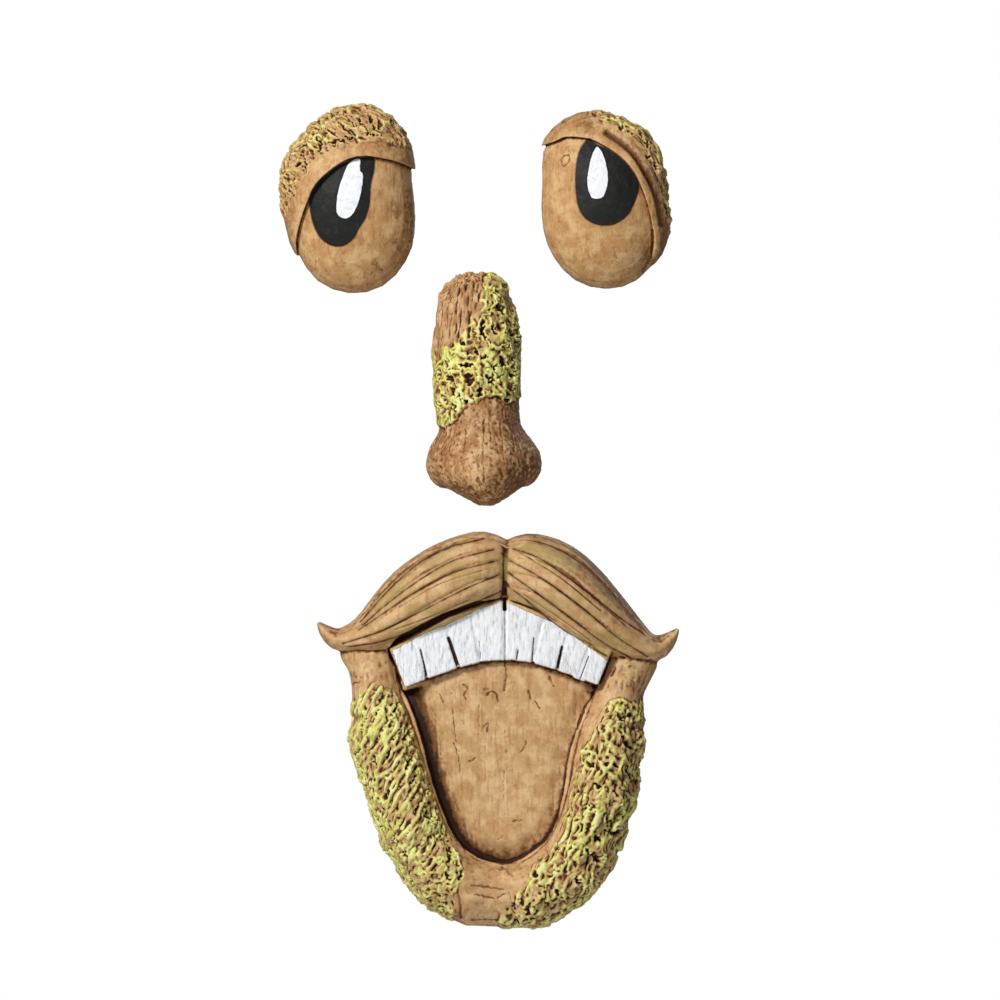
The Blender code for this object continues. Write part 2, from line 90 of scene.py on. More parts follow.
# %% Distances, regions and soft steps
def distance_to(line, spots, closed=False):
    """How far each (x, z) spot is from a line, in metres."""
    ends = np.roll(line, -1, axis=0) if closed else line[1:]
    starts = line if closed else line[:-1]
    nearest = np.full(len(spots), 1e9)
    for start, end in zip(starts, ends):
        run = end - start
        along = np.clip(((spots - start) @ run) / max(run @ run, 1e-12), 0, 1)
        nearest = np.minimum(nearest, np.hypot(*(spots - start - along[:, None] * run).T))
    return nearest


def depth_inside(outline, spots):
    """Distance to a closed outline: above zero inside it, below zero outside."""
    x, z = spots.T
    inside = np.zeros(len(spots), bool)
    for (x0, z0), (x1, z1) in zip(outline, np.roll(outline, -1, axis=0)):
        if z0 != z1:
            crosses = (z0 > z) != (z1 > z)
            inside ^= crosses & (x < x0 + (x1 - x0) * (z - z0) / (z1 - z0))
    return np.where(inside, 1, -1) * distance_to(outline, spots, closed=True)


def soft_step(value, low, high):
    """0 at low, 1 at high, with an even curve between."""
    t = np.clip((value - low) / (high - low), 0, 1)
    return t * t * (3 - 2 * t)


# %% [markdown]
# ## Grain of bark and moss
# Noise makes all the free relief. Stretched along the grain of the wood it makes strands and,
# cut off higher up, the dark slots between them. A web is the walls between random cells,
# which is how thick moss looks when it has dried over pits. The features that the eye knows
# again, such as the largest pits and the scratches, are drawn one by one.

# %% Grain, strands and webs
FRONT_LEVEL = -0.3 * MM


def grain(points, size, seed=0.0):
    """Smooth noise from -1 to 1 with bumps of about this size, left out on the flat back."""
    values = np.zeros(len(points))
    front = points[:, 1] < FRONT_LEVEL
    values[front] = [noise.noise(p) for p in (points[front] / size + seed).tolist()]
    return values


def turned(points, degrees, stretch):
    """Points in a frame that is turned in the trunk plane and squeezed along the new first axis."""
    c, s = math.cos(math.radians(degrees)), math.sin(math.radians(degrees))
    x, y, z = points.T
    return np.column_stack(((x * c + z * s) / stretch, y, z * c - x * s))


def strands(points, size, degrees, stretch, seed=0.0, low=-0.25, high=0.4):
    """Long bumps from 0 to 1 that lie along a direction and bend a little."""
    bent = points + 0.6 * size * grain(points, 2.5 * size, seed + 7)[:, None]
    return soft_step(grain(turned(bent, degrees, stretch), size, seed), low, high)


def web(points, size, seed=0.0, bend=0.35):
    """Distance from the walls between cells, in cells, and a chance from 0 to 1 for each cell."""
    bent = points / size + seed
    bent = bent + bend * np.column_stack([grain(points, 0.8 * size, seed + k) for k in (1, 2, 3)])
    walls, chance = np.ones((2, len(points)))
    for i in np.flatnonzero(points[:, 1] < FRONT_LEVEL):
        reach, centres = noise.voronoi(bent[i].tolist())
        walls[i] = reach[1] - reach[0]
        chance[i] = noise.cell(centres[0])
    return walls, chance


# %% Drawn strokes and lines
NO_LINE = -3.0
FAR = 9.0


def near_line(line, spots, reach):
    """The numbers of the spots in a box round the line. The others needn't be measured."""
    low, high = line.min(axis=0) - reach, line.max(axis=0) + reach
    return np.flatnonzero(((spots > low) & (spots < high)).all(axis=1))


def thicker(drawn, times):
    """The same strokes, that many times as wide."""
    return [[*knots, times * half_width] for *knots, half_width in drawn]


def strokes(spots, drawn, soft=0.25):
    """1 along the middle of each drawn stroke, 0 beyond its half width, which ends its list.

    A stroke is a row of discs that grow towards its middle, so both of its ends taper."""
    strength = np.zeros(len(spots))
    for *knots, half_width in drawn:
        line = drawn_through(knots, steps=6)
        reach = half_width * PIXEL * (0.4 + 0.7 * np.sin(np.linspace(0, math.pi, len(line))))
        near = near_line(line, spots, max(reach))
        for centre, disc in zip(line, reach):
            away = np.hypot(*(spots[near] - centre).T) / disc
            strength[near] = np.maximum(strength[near], 1 - soft_step(away, soft, 1))
    return strength


def line_depth(spots, drawn):
    """How far inside the nearest drawn line each spot is, in millimetres, below zero outside it."""
    thinned = 0.3
    depth = np.full(len(spots), NO_LINE)
    for *knots, half_width in drawn:
        line = drawn_through(knots, steps=4)
        near = near_line(line, spots, 3 * MM)
        inside = (half_width * PIXEL - distance_to(line, spots[near])) / MM - thinned
        depth[near] = np.maximum(depth[near], inside)
    return depth


def nearest_of(lines, spots):
    """How far each spot is from the nearest of some lines, in millimetres."""
    nearest = np.full(len(spots), FAR)
    for line in lines:
        nearest = np.minimum(nearest, distance_to(drawn_through(line, steps=4), spots) / MM)
    return nearest


def shaken(points, size, amount):
    """Places moved a little by noise, which makes a drawn stroke ragged."""
    moves = np.column_stack([grain(points, size, seed) for seed in (51, 61)])
    return points[:, (0, 2)] + amount * moves


# %% [markdown]
# ## A skin to carve
# A copy of each solid is remeshed with small even faces. That melts its facets and sharp cuts
# into one skin, which is relaxed and then pushed in and out along its normals. This is what
# sculpting does by hand, but a height worked out for each vertex repeats exactly.

# %% Copy a solid and give it an even skin
def select_only(piece):
    bpy.ops.object.select_all(action="DESELECT")
    piece.select_set(True)
    bpy.context.view_layer.objects.active = piece


def apply(piece, kind, **settings):
    modifier = piece.modifiers.new(kind.lower(), kind)
    for name, value in settings.items():
        setattr(modifier, name, value)
    select_only(piece)
    bpy.ops.object.modifier_apply(modifier=modifier.name)


def copy_of(node, name):
    piece = bpy.data.objects.new(name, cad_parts[node].data.copy())
    bpy.context.scene.collection.objects.link(piece)
    select_only(piece)
    bpy.ops.object.mode_set(mode="EDIT")
    bpy.ops.mesh.select_all(action="SELECT")
    bpy.ops.mesh.remove_doubles(threshold=0.01 * MM)
    bpy.ops.object.mode_set(mode="OBJECT")
    return piece


# %% [markdown]
# ## Bare backs
# The paint reads each vertex's marks, and what lies in front would be marked on the back too.
# So the flat back and the keyhole in it get the value that each mark has far from any paint.

# %% A skin that can be carved
KEYHOLES = {"left_eye": (-0.0608, 0.0976), "right_eye": (0.0551, 0.0976),
            "nose": (0.0, 0.0176), "mouth": (0.0063, -0.0865)}
KEYHOLE_REACH = 12 * MM
KEYHOLE_DEPTH = 8.6 * MM
UNMARKED = {"line": NO_LINE, "iris": -FAR, "glint": -FAR, "tooth_edge": -FAR, "tooth_gap": FAR,
            "hair_gap": FAR}


class Skin:
    """A piece's vertices, with the sculptor's moves on them. The back and keyhole stay plain."""

    def __init__(self, piece, spacing, keyhole):
        apply(piece, "REMESH", mode="VOXEL", voxel_size=spacing)
        self.piece = piece
        mesh = piece.data
        self.points = np.empty(len(mesh.vertices) * 3)
        mesh.vertices.foreach_get("co", self.points)
        self.points = self.points.reshape(-1, 3)
        ends = np.empty(len(mesh.edges) * 2, int)
        mesh.edges.foreach_get("vertices", ends)
        ends = ends.reshape(-1, 2)
        ends = np.vstack((ends, ends[:, ::-1]))
        self.neighbours = ends[np.argsort(ends[:, 0], kind="stable"), 1]
        self.counts = np.bincount(ends[:, 0], minlength=len(self.points))
        self.firsts = np.cumsum(self.counts) - self.counts
        self.back = self.points[:, 1] > -0.4 * spacing
        near_hole = np.hypot(*(self.spots - keyhole).T) < KEYHOLE_REACH
        self.hole = near_hole & ~self.back & (self.points[:, 1] > -KEYHOLE_DEPTH)
        self.marks = {}
        print(piece.name, "skin of", len(self.points), "vertices")

    @property
    def spots(self):
        return self.points[:, (0, 2)]

    def mean(self, values):
        """The mean of each vertex's neighbours."""
        return np.add.reduceat(values[self.neighbours], self.firsts) / self.counts[:, None]

    def relax(self, rounds, weight=1.0):
        """Melts bumps away, and swells by as much as that shrinks."""
        weight = np.broadcast_to(weight, len(self.points))[:, None]
        for _ in range(rounds):
            for share in (0.5, -0.51):
                self.points += share * weight * (self.mean(self.points) - self.points)
            self.points[self.back, 1] = 0

    def normals(self):
        mesh = self.piece.data
        mesh.vertices.foreach_set("co", self.points.ravel())
        mesh.update()
        normals = np.empty(len(self.points) * 3)
        mesh.vertex_normals.foreach_get("vector", normals)
        return normals.reshape(-1, 3)

    def push(self, height):
        """Moves each vertex out by its height, but leaves the flat back on the trunk."""
        moves = self.normals() * np.where(self.hole, 0, height)[:, None]
        moves[self.back, 1] = 0
        self.points += moves
        self.points[:, 1] = np.minimum(self.points[:, 1], 0)

    def hollows(self, rounds, full_depth):
        """How deep each vertex lies below the skin round it, as a share of a full depth."""
        level = self.points
        for _ in range(rounds):
            level = self.mean(level)
        depth = ((level - self.points) * self.normals()).sum(axis=1) / full_depth
        return np.where(self.back, 0, np.clip(depth, -1, 1))

    def finish(self, faces):
        """Writes the shape and its marks to the mesh and spends the faces where it bends most."""
        mesh = self.piece.data
        mesh.vertices.foreach_set("co", self.points.ravel())
        for name, values in self.marks.items():
            values = np.where(self.back | self.hole, UNMARKED.get(name, 0), values)
            mark = mesh.attributes.new(name, "FLOAT", "POINT")
            mark.data.foreach_set("value", values.astype(np.float32))
        mesh.update()
        triangles = 2 * len(mesh.polygons)
        if triangles > faces:
            apply(self.piece, "DECIMATE", ratio=faces / triangles)
        select_only(self.piece)
        bpy.ops.object.shade_smooth()
        for polygon in mesh.polygons:
            polygon.use_smooth = polygon.normal.y < 0.95
        triangles = sum(len(polygon.vertices) - 2 for polygon in mesh.polygons)
        print(self.piece.name, "triangles", triangles)


# %% [markdown]
# ## Marks for the painter
# The paint follows the carving: dark wash runs into hollows and green is brushed over crests.
# So after the last cut each vertex is told how hollow it is, over a small and a wide reach.
# Painted shade darkens the sides that face down and right, away from the main light, and the rims.

# %% Note the hollows and crests
def note_relief(skin, fine_depth, wide_depth, crest, stain):
    fine = skin.hollows(6, fine_depth)
    wide = skin.hollows(40, wide_depth)
    skin.marks["hollow"] = fine
    skin.marks["crease"] = np.clip(wide, 0, 1)
    skin.marks["crest"] = np.clip(0.7 * np.clip(-fine, 0, 1) + 0.6 * np.clip(crest, 0, 1), 0, 1)
    x, y, z = skin.normals().T
    # Painted shade: on sides that face right and down, away from the main light, and on rims that turn from
    # the front.
    painted_shade_right_down = np.clip(0.85 * x - 0.5 * z, 0, 1)
    painted_shade_at_rims = 1 - soft_step(-y, 0.25, 0.8)
    # So the stain mark holds real stains and painted shade together.
    skin.marks["stain"] = np.clip(stain + 0.2 * painted_shade_right_down + 0.2 * painted_shade_at_rims, 0, 2)


# %% [markdown]
# ## The eyes
# Each eye is an egg under a thick lid. The lid keeps a smooth rim, and beyond it the bark
# begins. The pupils are only paint, but their edges are drawn from the photograph.

# %% Lines measured on the eyes
LEFT_LID = [(440, 190), (411, 168.6), (400, 164), (386, 161.6), (372, 159.5), (358, 160), (344, 166),
            (330, 174), (316, 187), (309, 202), (302, 213.5), (297, 226), (294, 241.5), (300, 259)]
RIGHT_LID = [(530, 150), (551, 144), (556.5, 140), (566, 138), (579, 139), (589, 141), (598.6, 146),
             (607, 150), (618, 157), (629.4, 168.6), (636.5, 181), (643.5, 194), (649, 209),
             (652.6, 227.5), (653, 244), (649, 266)]
LEFT_BARK = [(270, 228), (287, 214), (294, 196), (301, 182), (310, 166), (322, 156), (338, 150),
             (352, 147), (366, 143), (380, 144), (396, 148), (425, 153), (430, 80), (270, 80)]
RIGHT_BARK = [(583, 95), (588, 113), (600, 122), (614, 129), (628, 137), (640, 149), (650, 164),
              (657, 181), (662, 198), (665, 214), (668, 235), (690, 240), (690, 95)]
LEFT_IRIS = [(375, 160.5), (364, 160), (344, 166.5), (330, 175), (317, 187), (310.5, 201), (312, 216),
             (316, 230), (323, 241), (333, 247.5), (344, 248), (354, 241.5), (361, 230), (367.5, 219),
             (371, 205), (372, 188), (375, 174)]
LEFT_GLINT = [(354, 163), (361, 162), (361, 173), (364, 178), (362.4, 194), (358, 209), (352.6, 218),
              (345.6, 221), (339, 216.7), (338, 209), (339.5, 195), (344, 180), (349, 168)]
RIGHT_IRIS = [(589, 141), (582, 147), (577.5, 158), (575, 174), (575, 191), (577.5, 208), (583, 219),
              (593, 226), (604, 228), (615, 226), (626.6, 217.7), (633.6, 205), (638, 191),
              (636.5, 181), (629, 170), (618, 159), (607, 151.5), (597, 147)]
RIGHT_GLINT = [(597, 149), (602.5, 158), (606, 171), (606.7, 185.4), (603, 198), (598.6, 201),
               (591.6, 200.5), (587.6, 192.4), (586.7, 181), (589.2, 166), (592.5, 155)]
LEFT_LID_CUTS = [[(327, 108), (333, 117), (330, 123), 2.6], [(337, 122), (346, 131), (352, 137), 2.0],
                 [(343, 114), (352, 124), (360, 131), 2.0], [(356, 117), (364, 126), (371, 135), 2.0],
                 [(369, 116), (374, 124), (376, 131), 3.2], [(379, 120), (382, 131), 2.6],
                 [(362, 104), (372, 110), 2.0], [(388, 118), (396, 128), 2.0],
                 [(330, 145), (340, 143), (350, 147), 2.2], [(317, 139), (322, 147), (320, 154), 2.6],
                 [(306, 160), (308, 172), (305, 180), 2.2], [(291, 190), (296, 199), 2.2],
                 [(300, 150), (308, 144), 2.0], [(312, 128), (322, 132), 2.0],
                 [(325, 130), (338, 138), 1.8], [(296, 168), (304, 164), 2.0],
                 [(398, 134), (404, 141), 1.8], [(345, 140), (362, 142), 1.5],
                 [(366, 136), (384, 139), 1.6], [(288, 176), (290, 186), 2.0],
                 [(316, 118), (320, 124), 2.2], [(384, 108), (392, 114), 1.8]]
RIGHT_LID_CUTS = [[(592, 114), (596, 117), 3.4], [(619, 128), (625, 133), 3.2],
                  [(630, 120), (635, 124), 2.4], [(644, 143), (650, 150), 3.2],
                  [(645, 157), (648, 161), 2.8], [(654, 163), (657, 172), 2.4],
                  [(606, 116), (611, 119), 2.2], [(661, 186), (663, 196), 2.4],
                  [(664, 205), (667, 216), 2.2], [(637, 134), (641, 139), 2.4],
                  [(613, 118), (617, 121), 2.0], [(627, 131), (632, 136), 2.0]]
RIGHT_RIM_GROOVE = [(606, 135), (614, 140), (628, 151), (640, 167), (650, 185), (657, 205), (660, 225)]
LEFT_EYE_LINES = [[(411, 169.5), (425, 175), (436, 184), 1.6]]
RIGHT_EYE_LINES = [[(561, 167), (561, 160), (565, 157), (569, 158), (568, 164), (564, 168), (561, 167), 1.2],
                   [(652, 232), (652, 248), (648, 262), (643, 272), 1.9]]
# Painted shade on the left eyeball's right and lower side, away from the main light.
LEFT_EYE_PAINTED_SHADE = [[(396, 240), (399, 252), 9], [(392, 200), (398, 222), 8], [(372, 262), (380, 270), 5],
                   [(408, 190), (410, 240), 7]]
# Darker strokes: patches above the lid, a band along the groove outside the rim, and marks low down.
RIGHT_EYE_DARK_STROKES = [[(578, 126), (592, 128), 10], [(606, 138), (632, 158), (646, 182), (656, 214), 6],
                    [(556, 118), (566, 122), 5], [(641, 262), (652, 246), 6],
                    [(612, 240), (616, 268), 4], [(552, 130), (548, 124), 4]]
print("cuts on the lids:", len(LEFT_LID_CUTS) + len(RIGHT_LID_CUTS))


# %% Carve an eye
def carve_eye(name, node, lid_line, beyond, bark_outline, cuts, lines, stains, iris, glint,
              slope, mossy, high_rim):
    """slope is the bark's, in degrees. Only a high rim has the groove behind it."""
    skin = Skin(copy_of(node, name), 0.33 * MM, KEYHOLES[node])
    lid_area = np.vstack((drawn_through(lid_line, steps=3), on_trunk(beyond)))
    above_edge = depth_inside(lid_area, skin.spots)
    soft_flank = soft_step(-skin.spots[:, 0], 0.073, 0.078)
    near_edge = 1 - soft_step(np.abs(above_edge), 0.8 * MM, 3.5 * MM)
    skin.relax(35, 1 - 0.85 * near_edge * (1 - soft_flank))
    skin.relax(50, soft_flank)

    spots, points = skin.spots.copy(), skin.points.copy()
    above_edge = depth_inside(lid_area, spots)
    ragged = 1.8 * MM * grain(points, 3.5 * MM, 3)
    bark = soft_step(depth_inside(on_trunk(bark_outline), spots) + ragged, -1.2 * MM, 1.8 * MM)
    rough_spots = shaken(points, 1.4 * MM, 1.1 * MM)
    broad = strands(points, 2.4 * MM, slope, 2.6, 5.0)
    fine = strands(points, 1.1 * MM, slope + 12, 2.2, 2.0)
    slot = strands(points, 1.9 * MM, slope - 8, 3.0, 14.0, 0.28, 0.5)
    walls, chance = web(points, 3.6 * MM, 11.0, 0.6)
    pit = soft_step(chance, 0.5, 0.95) * soft_step(walls, 0.1, 0.5)
    cut = strokes(rough_spots, cuts)
    height = 0.9 * broad + 0.3 * fine + 1.3 * grain(points, 6 * MM, 9)
    height = bark * (height - 0.6 * slot - 0.6 * pit - 1.5 * cut - 0.2)
    plain = 1 - bark
    height += plain * (0.12 * grain(points, 3.2 * MM, 21) + 0.06 * grain(points, 1.1 * MM, 2))
    on_rim = high_rim * np.exp(-((above_edge - 1.9 * MM) / (1.5 * MM)) ** 2)
    from_groove = distance_to(drawn_through(RIGHT_RIM_GROOVE), spots)
    groove = high_rim * (1 - soft_step(from_groove, 0, 2.6 * MM))
    line = line_depth(shaken(points, 1.5 * MM, 0.5 * MM), lines)
    height += (0.8 * on_rim * soft_step(spots[:, 0], 0.045, 0.055) - 1.1 * groove
               - 0.3 * soft_step(line, -0.4, 0.1))
    skin.push(height * MM)
    skin.relax(1, 0.6)

    crest = bark * (0.75 * broad + 0.3 * fine) * (1 - pit) * (1 - cut)
    darkened_spots = shaken(points, 2.5 * MM, 1.6 * MM)
    stain = 0.5 * cut * bark + 0.12 * bark + 0.35 * groove
    # Darker strokes from the lists; on the left eye they are painted shade.
    stain += 0.32 * strokes(darkened_spots, stains, 0.0)
    stain += 0.16 * plain * soft_step(above_edge, 0, 1 * MM)
    note_relief(skin, 0.3 * MM, 1.2 * MM, crest, stain)
    skin.marks["moss"] = mossy * bark
    skin.marks["line"] = line
    in_iris = depth_inside(drawn_through(iris, True), spots) / MM
    skin.marks["iris"] = np.where(above_edge < 0.3 * MM, in_iris, -FAR)
    skin.marks["glint"] = depth_inside(drawn_through(glint, True, 3), spots) / MM
    skin.finish(150000)
    return skin.piece


left_eye = carve_eye("left_eye_cast", "left_eye", LEFT_LID, [(262, 262), (262, 80), (440, 80)],
                     LEFT_BARK, LEFT_LID_CUTS, LEFT_EYE_LINES, LEFT_EYE_PAINTED_SHADE, LEFT_IRIS,
                     LEFT_GLINT, slope=-38, mossy=0.5, high_rim=False)
right_eye = carve_eye("right_eye_cast", "right_eye", RIGHT_LID, [(692, 272), (692, 80), (530, 80)],
                      RIGHT_BARK, RIGHT_LID_CUTS, RIGHT_EYE_LINES, RIGHT_EYE_DARK_STROKES, RIGHT_IRIS,
                      RIGHT_GLINT, slope=-50, mossy=1.0, high_rim=True)

# %% [markdown]
# ## The nose
# The bridge is bark: plain upright ridges at the upper left, and a thick web of moss with deep
# pits over the rest. It ends in a ragged edge, and the tip below it is smooth.

# %% Lines measured on the nose
NOSE_MOSS = [(487, 262), (485, 290), (480, 306), (472, 322), (462, 342), (444, 350), (425, 356),
             (420, 400), (436, 424), (446, 427), (455, 421), (463, 412), (469, 403), (477, 405), (482, 399),
             (496, 396), (504, 402), (511, 403), (516, 398), (545, 396), (545, 320), (520, 262)]
NOSE_BARK = [(415, 262), (415, 425), (436, 426), (446, 428), (455, 422), (463, 413), (469, 404), (477, 406),
             (482, 400), (496, 397), (504, 403), (511, 404), (516, 399), (555, 397), (555, 262)]
NOSE_PITS = [[(497, 306), (502, 314), 5.0], [(484, 322), (482, 332), (486, 341), 3.0],
             [(492, 326), (496, 336), 2.6], [(469, 376), (471, 386), 5.6], [(449, 378), (454, 382), 4.4],
             [(452, 388), (456, 398), 2.8], [(460, 366), (474, 367), 2.8], [(500, 358), (503, 366), 3.8],
             [(486, 376), (493, 386), 3.0], [(480, 389), (480, 398), 2.6], [(481, 360), (487, 358), 2.6],
             [(461, 343), (465, 347), 2.8], [(453, 405), (456, 412), 3.0], [(504, 402), (508, 400), 2.4],
             [(492, 371), (497, 366), 2.2], [(466, 401), (468, 408), 2.6], [(508, 372), (511, 380), 2.4],
             [(446, 362), (449, 368), 2.4], [(475, 350), (478, 356), 2.2], [(509, 330), (511, 338), 2.4],
             [(441, 402), (443, 410), 2.0]]
NOSE_RIDGES = [[(484, 317), (479, 330), (479, 346), 2.4],
               [(484, 317), (493, 314), (501, 320), (504, 333), 2.4],
               [(478, 354), (474, 342), (472, 330), 2.6], [(480, 356), (479, 370), (481, 388), 2.6],
               [(452, 352), (466, 357), (478, 356), 2.4],
               [(461, 372), (463, 384), (461, 394), (466, 400), 2.8],
               [(483, 390), (491, 396), (502, 397), 2.4], [(440, 370), (442, 384), (448, 396), 2.6],
               [(505, 343), (509, 356), (507, 370), 2.4], [(512, 298), (514, 320), (515, 345), 3.0],
               [(491, 286), (495, 300), (492, 310), 2.4], [(447, 371), (455, 373), (461, 372), 2.2],
               [(445, 398), (448, 408), (449, 420), 2.6], [(459, 400), (461, 410), (458, 418), 2.4],
               [(488, 345), (496, 350), (505, 345), 2.2], [(486, 366), (492, 374), (498, 384), 2.2],
               [(512, 352), (514, 370), (512, 392), 2.6], [(471, 390), (475, 398), (480, 402), 2.0]]
NOSE_LINES = [[(484, 420), (483, 450), (484, 482), 1.4], [(489, 418), (491, 442), 1.0],
              [(467, 425), (464, 452), 1.0], [(500, 425), (503, 450), 1.0], [(452, 440), (447, 462), 1.0],
              [(478, 480), (481, 485), 2.4], [(495, 480), (499, 484), 2.0], [(486, 491), (492, 495), 2.0],
              [(470, 487), (474, 490), 1.8], [(500, 470), (503, 477), 1.8], [(476, 494), (480, 498), 1.8],
              [(513, 440), (516, 460), 1.0]]
# Patches painted darker, most of them on the right wing.
NOSE_DARK_PATCHES = [[(505, 470), (520, 485), 14], [(508, 420), (514, 450), 8], [(530, 455), (526, 480), 8],
               [(448, 480), (470, 492), 5], [(478, 415), (486, 440), 6]]
print("pits on the nose:", len(NOSE_PITS))


# %% Carve the nose
def carve_nose():
    skin = Skin(copy_of("nose", "nose_cast"), 0.35 * MM, KEYHOLES["nose"])
    skin.relax(35)
    spots, points = skin.spots.copy(), skin.points.copy()
    ragged = 0.9 * MM * grain(points, 2.5 * MM, 4)
    bark = soft_step(depth_inside(on_trunk(NOSE_BARK), spots) + ragged, -0.3 * MM, 0.8 * MM)
    moss = soft_step(depth_inside(on_trunk(NOSE_MOSS), spots) + 1.5 * ragged, -1.5 * MM, 1.0 * MM)
    walls, chance = web(points, 5.6 * MM, 4.0, 0.45)
    crest = 1 - soft_step(walls, 0.1, 0.55)
    fine = strands(points, 1.3 * MM, 75, 2.5, 2.0)
    upright = grain(turned(points, 87, 7), 1.2 * MM, 8)
    folds = grain(turned(points, 91, 5), 2.4 * MM, 3)
    pit = soft_step(chance, 0.45, 0.9) * soft_step(walls, 0.2, 0.55)
    rough_spots = shaken(points, 1.4 * MM, 1.1 * MM)
    deep = strokes(rough_spots, NOSE_PITS)
    ridge = strokes(rough_spots, thicker(NOSE_RIDGES, 1.45), 0.1) * (1 - deep)
    height = moss * (0.7 * crest + 0.2 * fine + 1.0 * ridge - 0.9 * pit * (1 - ridge) - 2.3 * deep)
    height += (1 - moss) * (1.3 * folds + 0.25 * fine + 1.1 * upright)
    height = bark * (height + 0.9 * grain(points, 6 * MM, 6) + 0.3)
    line = line_depth(shaken(points, 1.5 * MM, 0.6 * MM), NOSE_LINES)
    streaks = grain(turned(points, 90, 7), 1.5 * MM, 12)
    mottle = grain(points, 1.9 * MM, 33)
    height += (1 - bark) * (0.2 * streaks + 0.2 * grain(points, 4 * MM, 17) + 0.26 * mottle
                            + 0.14 * grain(points, 1.0 * MM, 35) - 0.2 * soft_step(line, -0.4, 0.1))
    skin.push(height * MM)
    skin.relax(1, 0.6)

    crest = np.maximum(0.85 * crest * (1 - pit), 1.3 * ridge) * (1 - deep)
    stain = moss * (0.7 * deep + 0.1) + 0.36 * strokes(shaken(points, 3 * MM, 4 * MM), NOSE_DARK_PATCHES, 0.0)
    stain += (1 - bark) * (0.1 + 0.3 * np.clip(-mottle, 0, 1))
    note_relief(skin, 0.3 * MM, 1.2 * MM, crest, stain)
    skin.marks["moss"] = moss * bark
    skin.marks["line"] = np.where(bark > 0.5, NO_LINE, line)
    skin.finish(150000)
    return skin.piece


nose = carve_nose()

# %% [markdown]
# ## The mouth
# The mouth has the most going on: locks of hair in the moustache, a row of teeth, bark on both
# lips, and a scratched tongue and chin. The solid's narrow gaps between the teeth are filled
# first, because the even skin would break them up, and the lines are carved afterwards.

# %% Lines measured on the moustache and teeth
LEFT_LOBE = [(503, 538), (494, 534), (484, 533), (468, 536), (448, 543), (427.5, 553), (407, 567),
             (387, 585),
             (371, 604), (361, 618), (351, 626), (341, 629), (333, 628), (317, 623), (328, 645), (332, 650),
             (346, 653), (364, 654), (387, 654), (402, 650), (422, 645), (443, 637), (463, 628), (478, 621),
             (491, 613), (505, 607)]
RIGHT_LOBE = [(503, 538), (517, 535), (530, 534), (545, 536), (565, 543), (583, 554), (601, 571), (616, 589),
              (629, 607), (639, 622), (652, 633.5), (662, 633.5), (679, 630), (674, 642), (667, 653),
              (657, 659),
              (644, 661.6), (626.5, 663), (606, 658), (586, 651), (565, 644), (545, 631), (529.6, 621),
              (517, 613), (505, 607)]
LOCKS = [[(484, 538), (440, 550), (405, 574), (380, 599), (361, 621)],
         [(494, 549), (455, 559), (420, 579), (390, 601), (363, 624.5)],
         [(498, 560), (455, 571), (415, 592), (385, 612), (359, 629)],
         [(500, 574), (470, 586), (430, 606), (385, 629), (344, 643)],
         [(501, 591), (460, 609), (425, 625), (385, 640), (340, 648)],
         [(520, 538), (550, 545), (583, 564), (612, 592), (642, 627)],
         [(513, 548), (540, 558), (583, 588), (625, 621), (662, 644)],
         [(510, 560), (542, 578), (583, 608), (615, 635), (648, 657)],
         [(508, 572), (540, 595), (575, 621), (604, 643), (631, 658)],
         [(507, 585), (530, 603), (555, 624), (580, 641), (606, 655)]]
FAINT_LOCKS = [[(488, 568), (440, 583), (400, 606)], [(470, 599), (430, 616), (395, 629)],
               [(520, 552), (560, 577), (600, 610)], [(524, 594), (560, 618), (590, 640)],
               [(450, 547), (420, 562), (395, 582)], [(540, 541), (575, 556), (606, 584)]]
PARTING = [(505, 520), (505, 560), (504, 611)]
TEETH = [(393, 650), (404.6, 688), (427.5, 679), (453, 668.5), (478.6, 661.5), (504, 659.5), (529.6, 663),
         (555, 673), (580.6, 683.5), (598.5, 691), (613, 664), (560, 625), (504, 600), (450, 618)]
TOOTH_LINES = [((427, 677), (421, 649), 1.7), ((459, 667), (449, 637), 2.3), ((481, 663), (479, 640), 0.7),
               ((505, 662), (505, 600), 0.9), ((516, 661), (518, 649), 1.2), ((532, 663), (533.5, 637), 1.2),
               ((556, 671), (562, 646), 2.0), ((578, 681), (588, 655), 1.0)]

# %% Lines measured on the lips, tongue and chin
INNER_LIP = [(398, 640), (401, 670), (403, 685), (411, 700), (418, 718), (426, 744), (432, 769), (441, 797),
             (451.5, 823), (463, 841), (476, 852), (489, 857), (504, 860), (519, 856), (532, 848),
             (545, 836),
             (554, 820), (559, 802), (563, 782), (566.6, 756.5), (574, 731), (583, 708), (591, 695),
             (600, 680),
             (608, 660), (504, 600)]
LEFT_BARK_LIP = [(354, 700), (362, 690), (378, 682), (392, 684), (398, 696), (408, 716), (416, 740),
                 (424, 766),
                 (437, 804), (450, 836), (463, 860), (464, 874), (456, 890), (455, 925), (430, 935),
                 (320, 900), (320, 710)]
RIGHT_BARK_LIP = [(622, 698), (610, 700), (602, 712), (594, 726), (583, 748), (574, 778), (566, 808),
                  (557, 838), (534, 862), (522, 884), (508, 904), (498, 918), (500, 945), (690, 945),
                  (690, 715), (640, 700)]
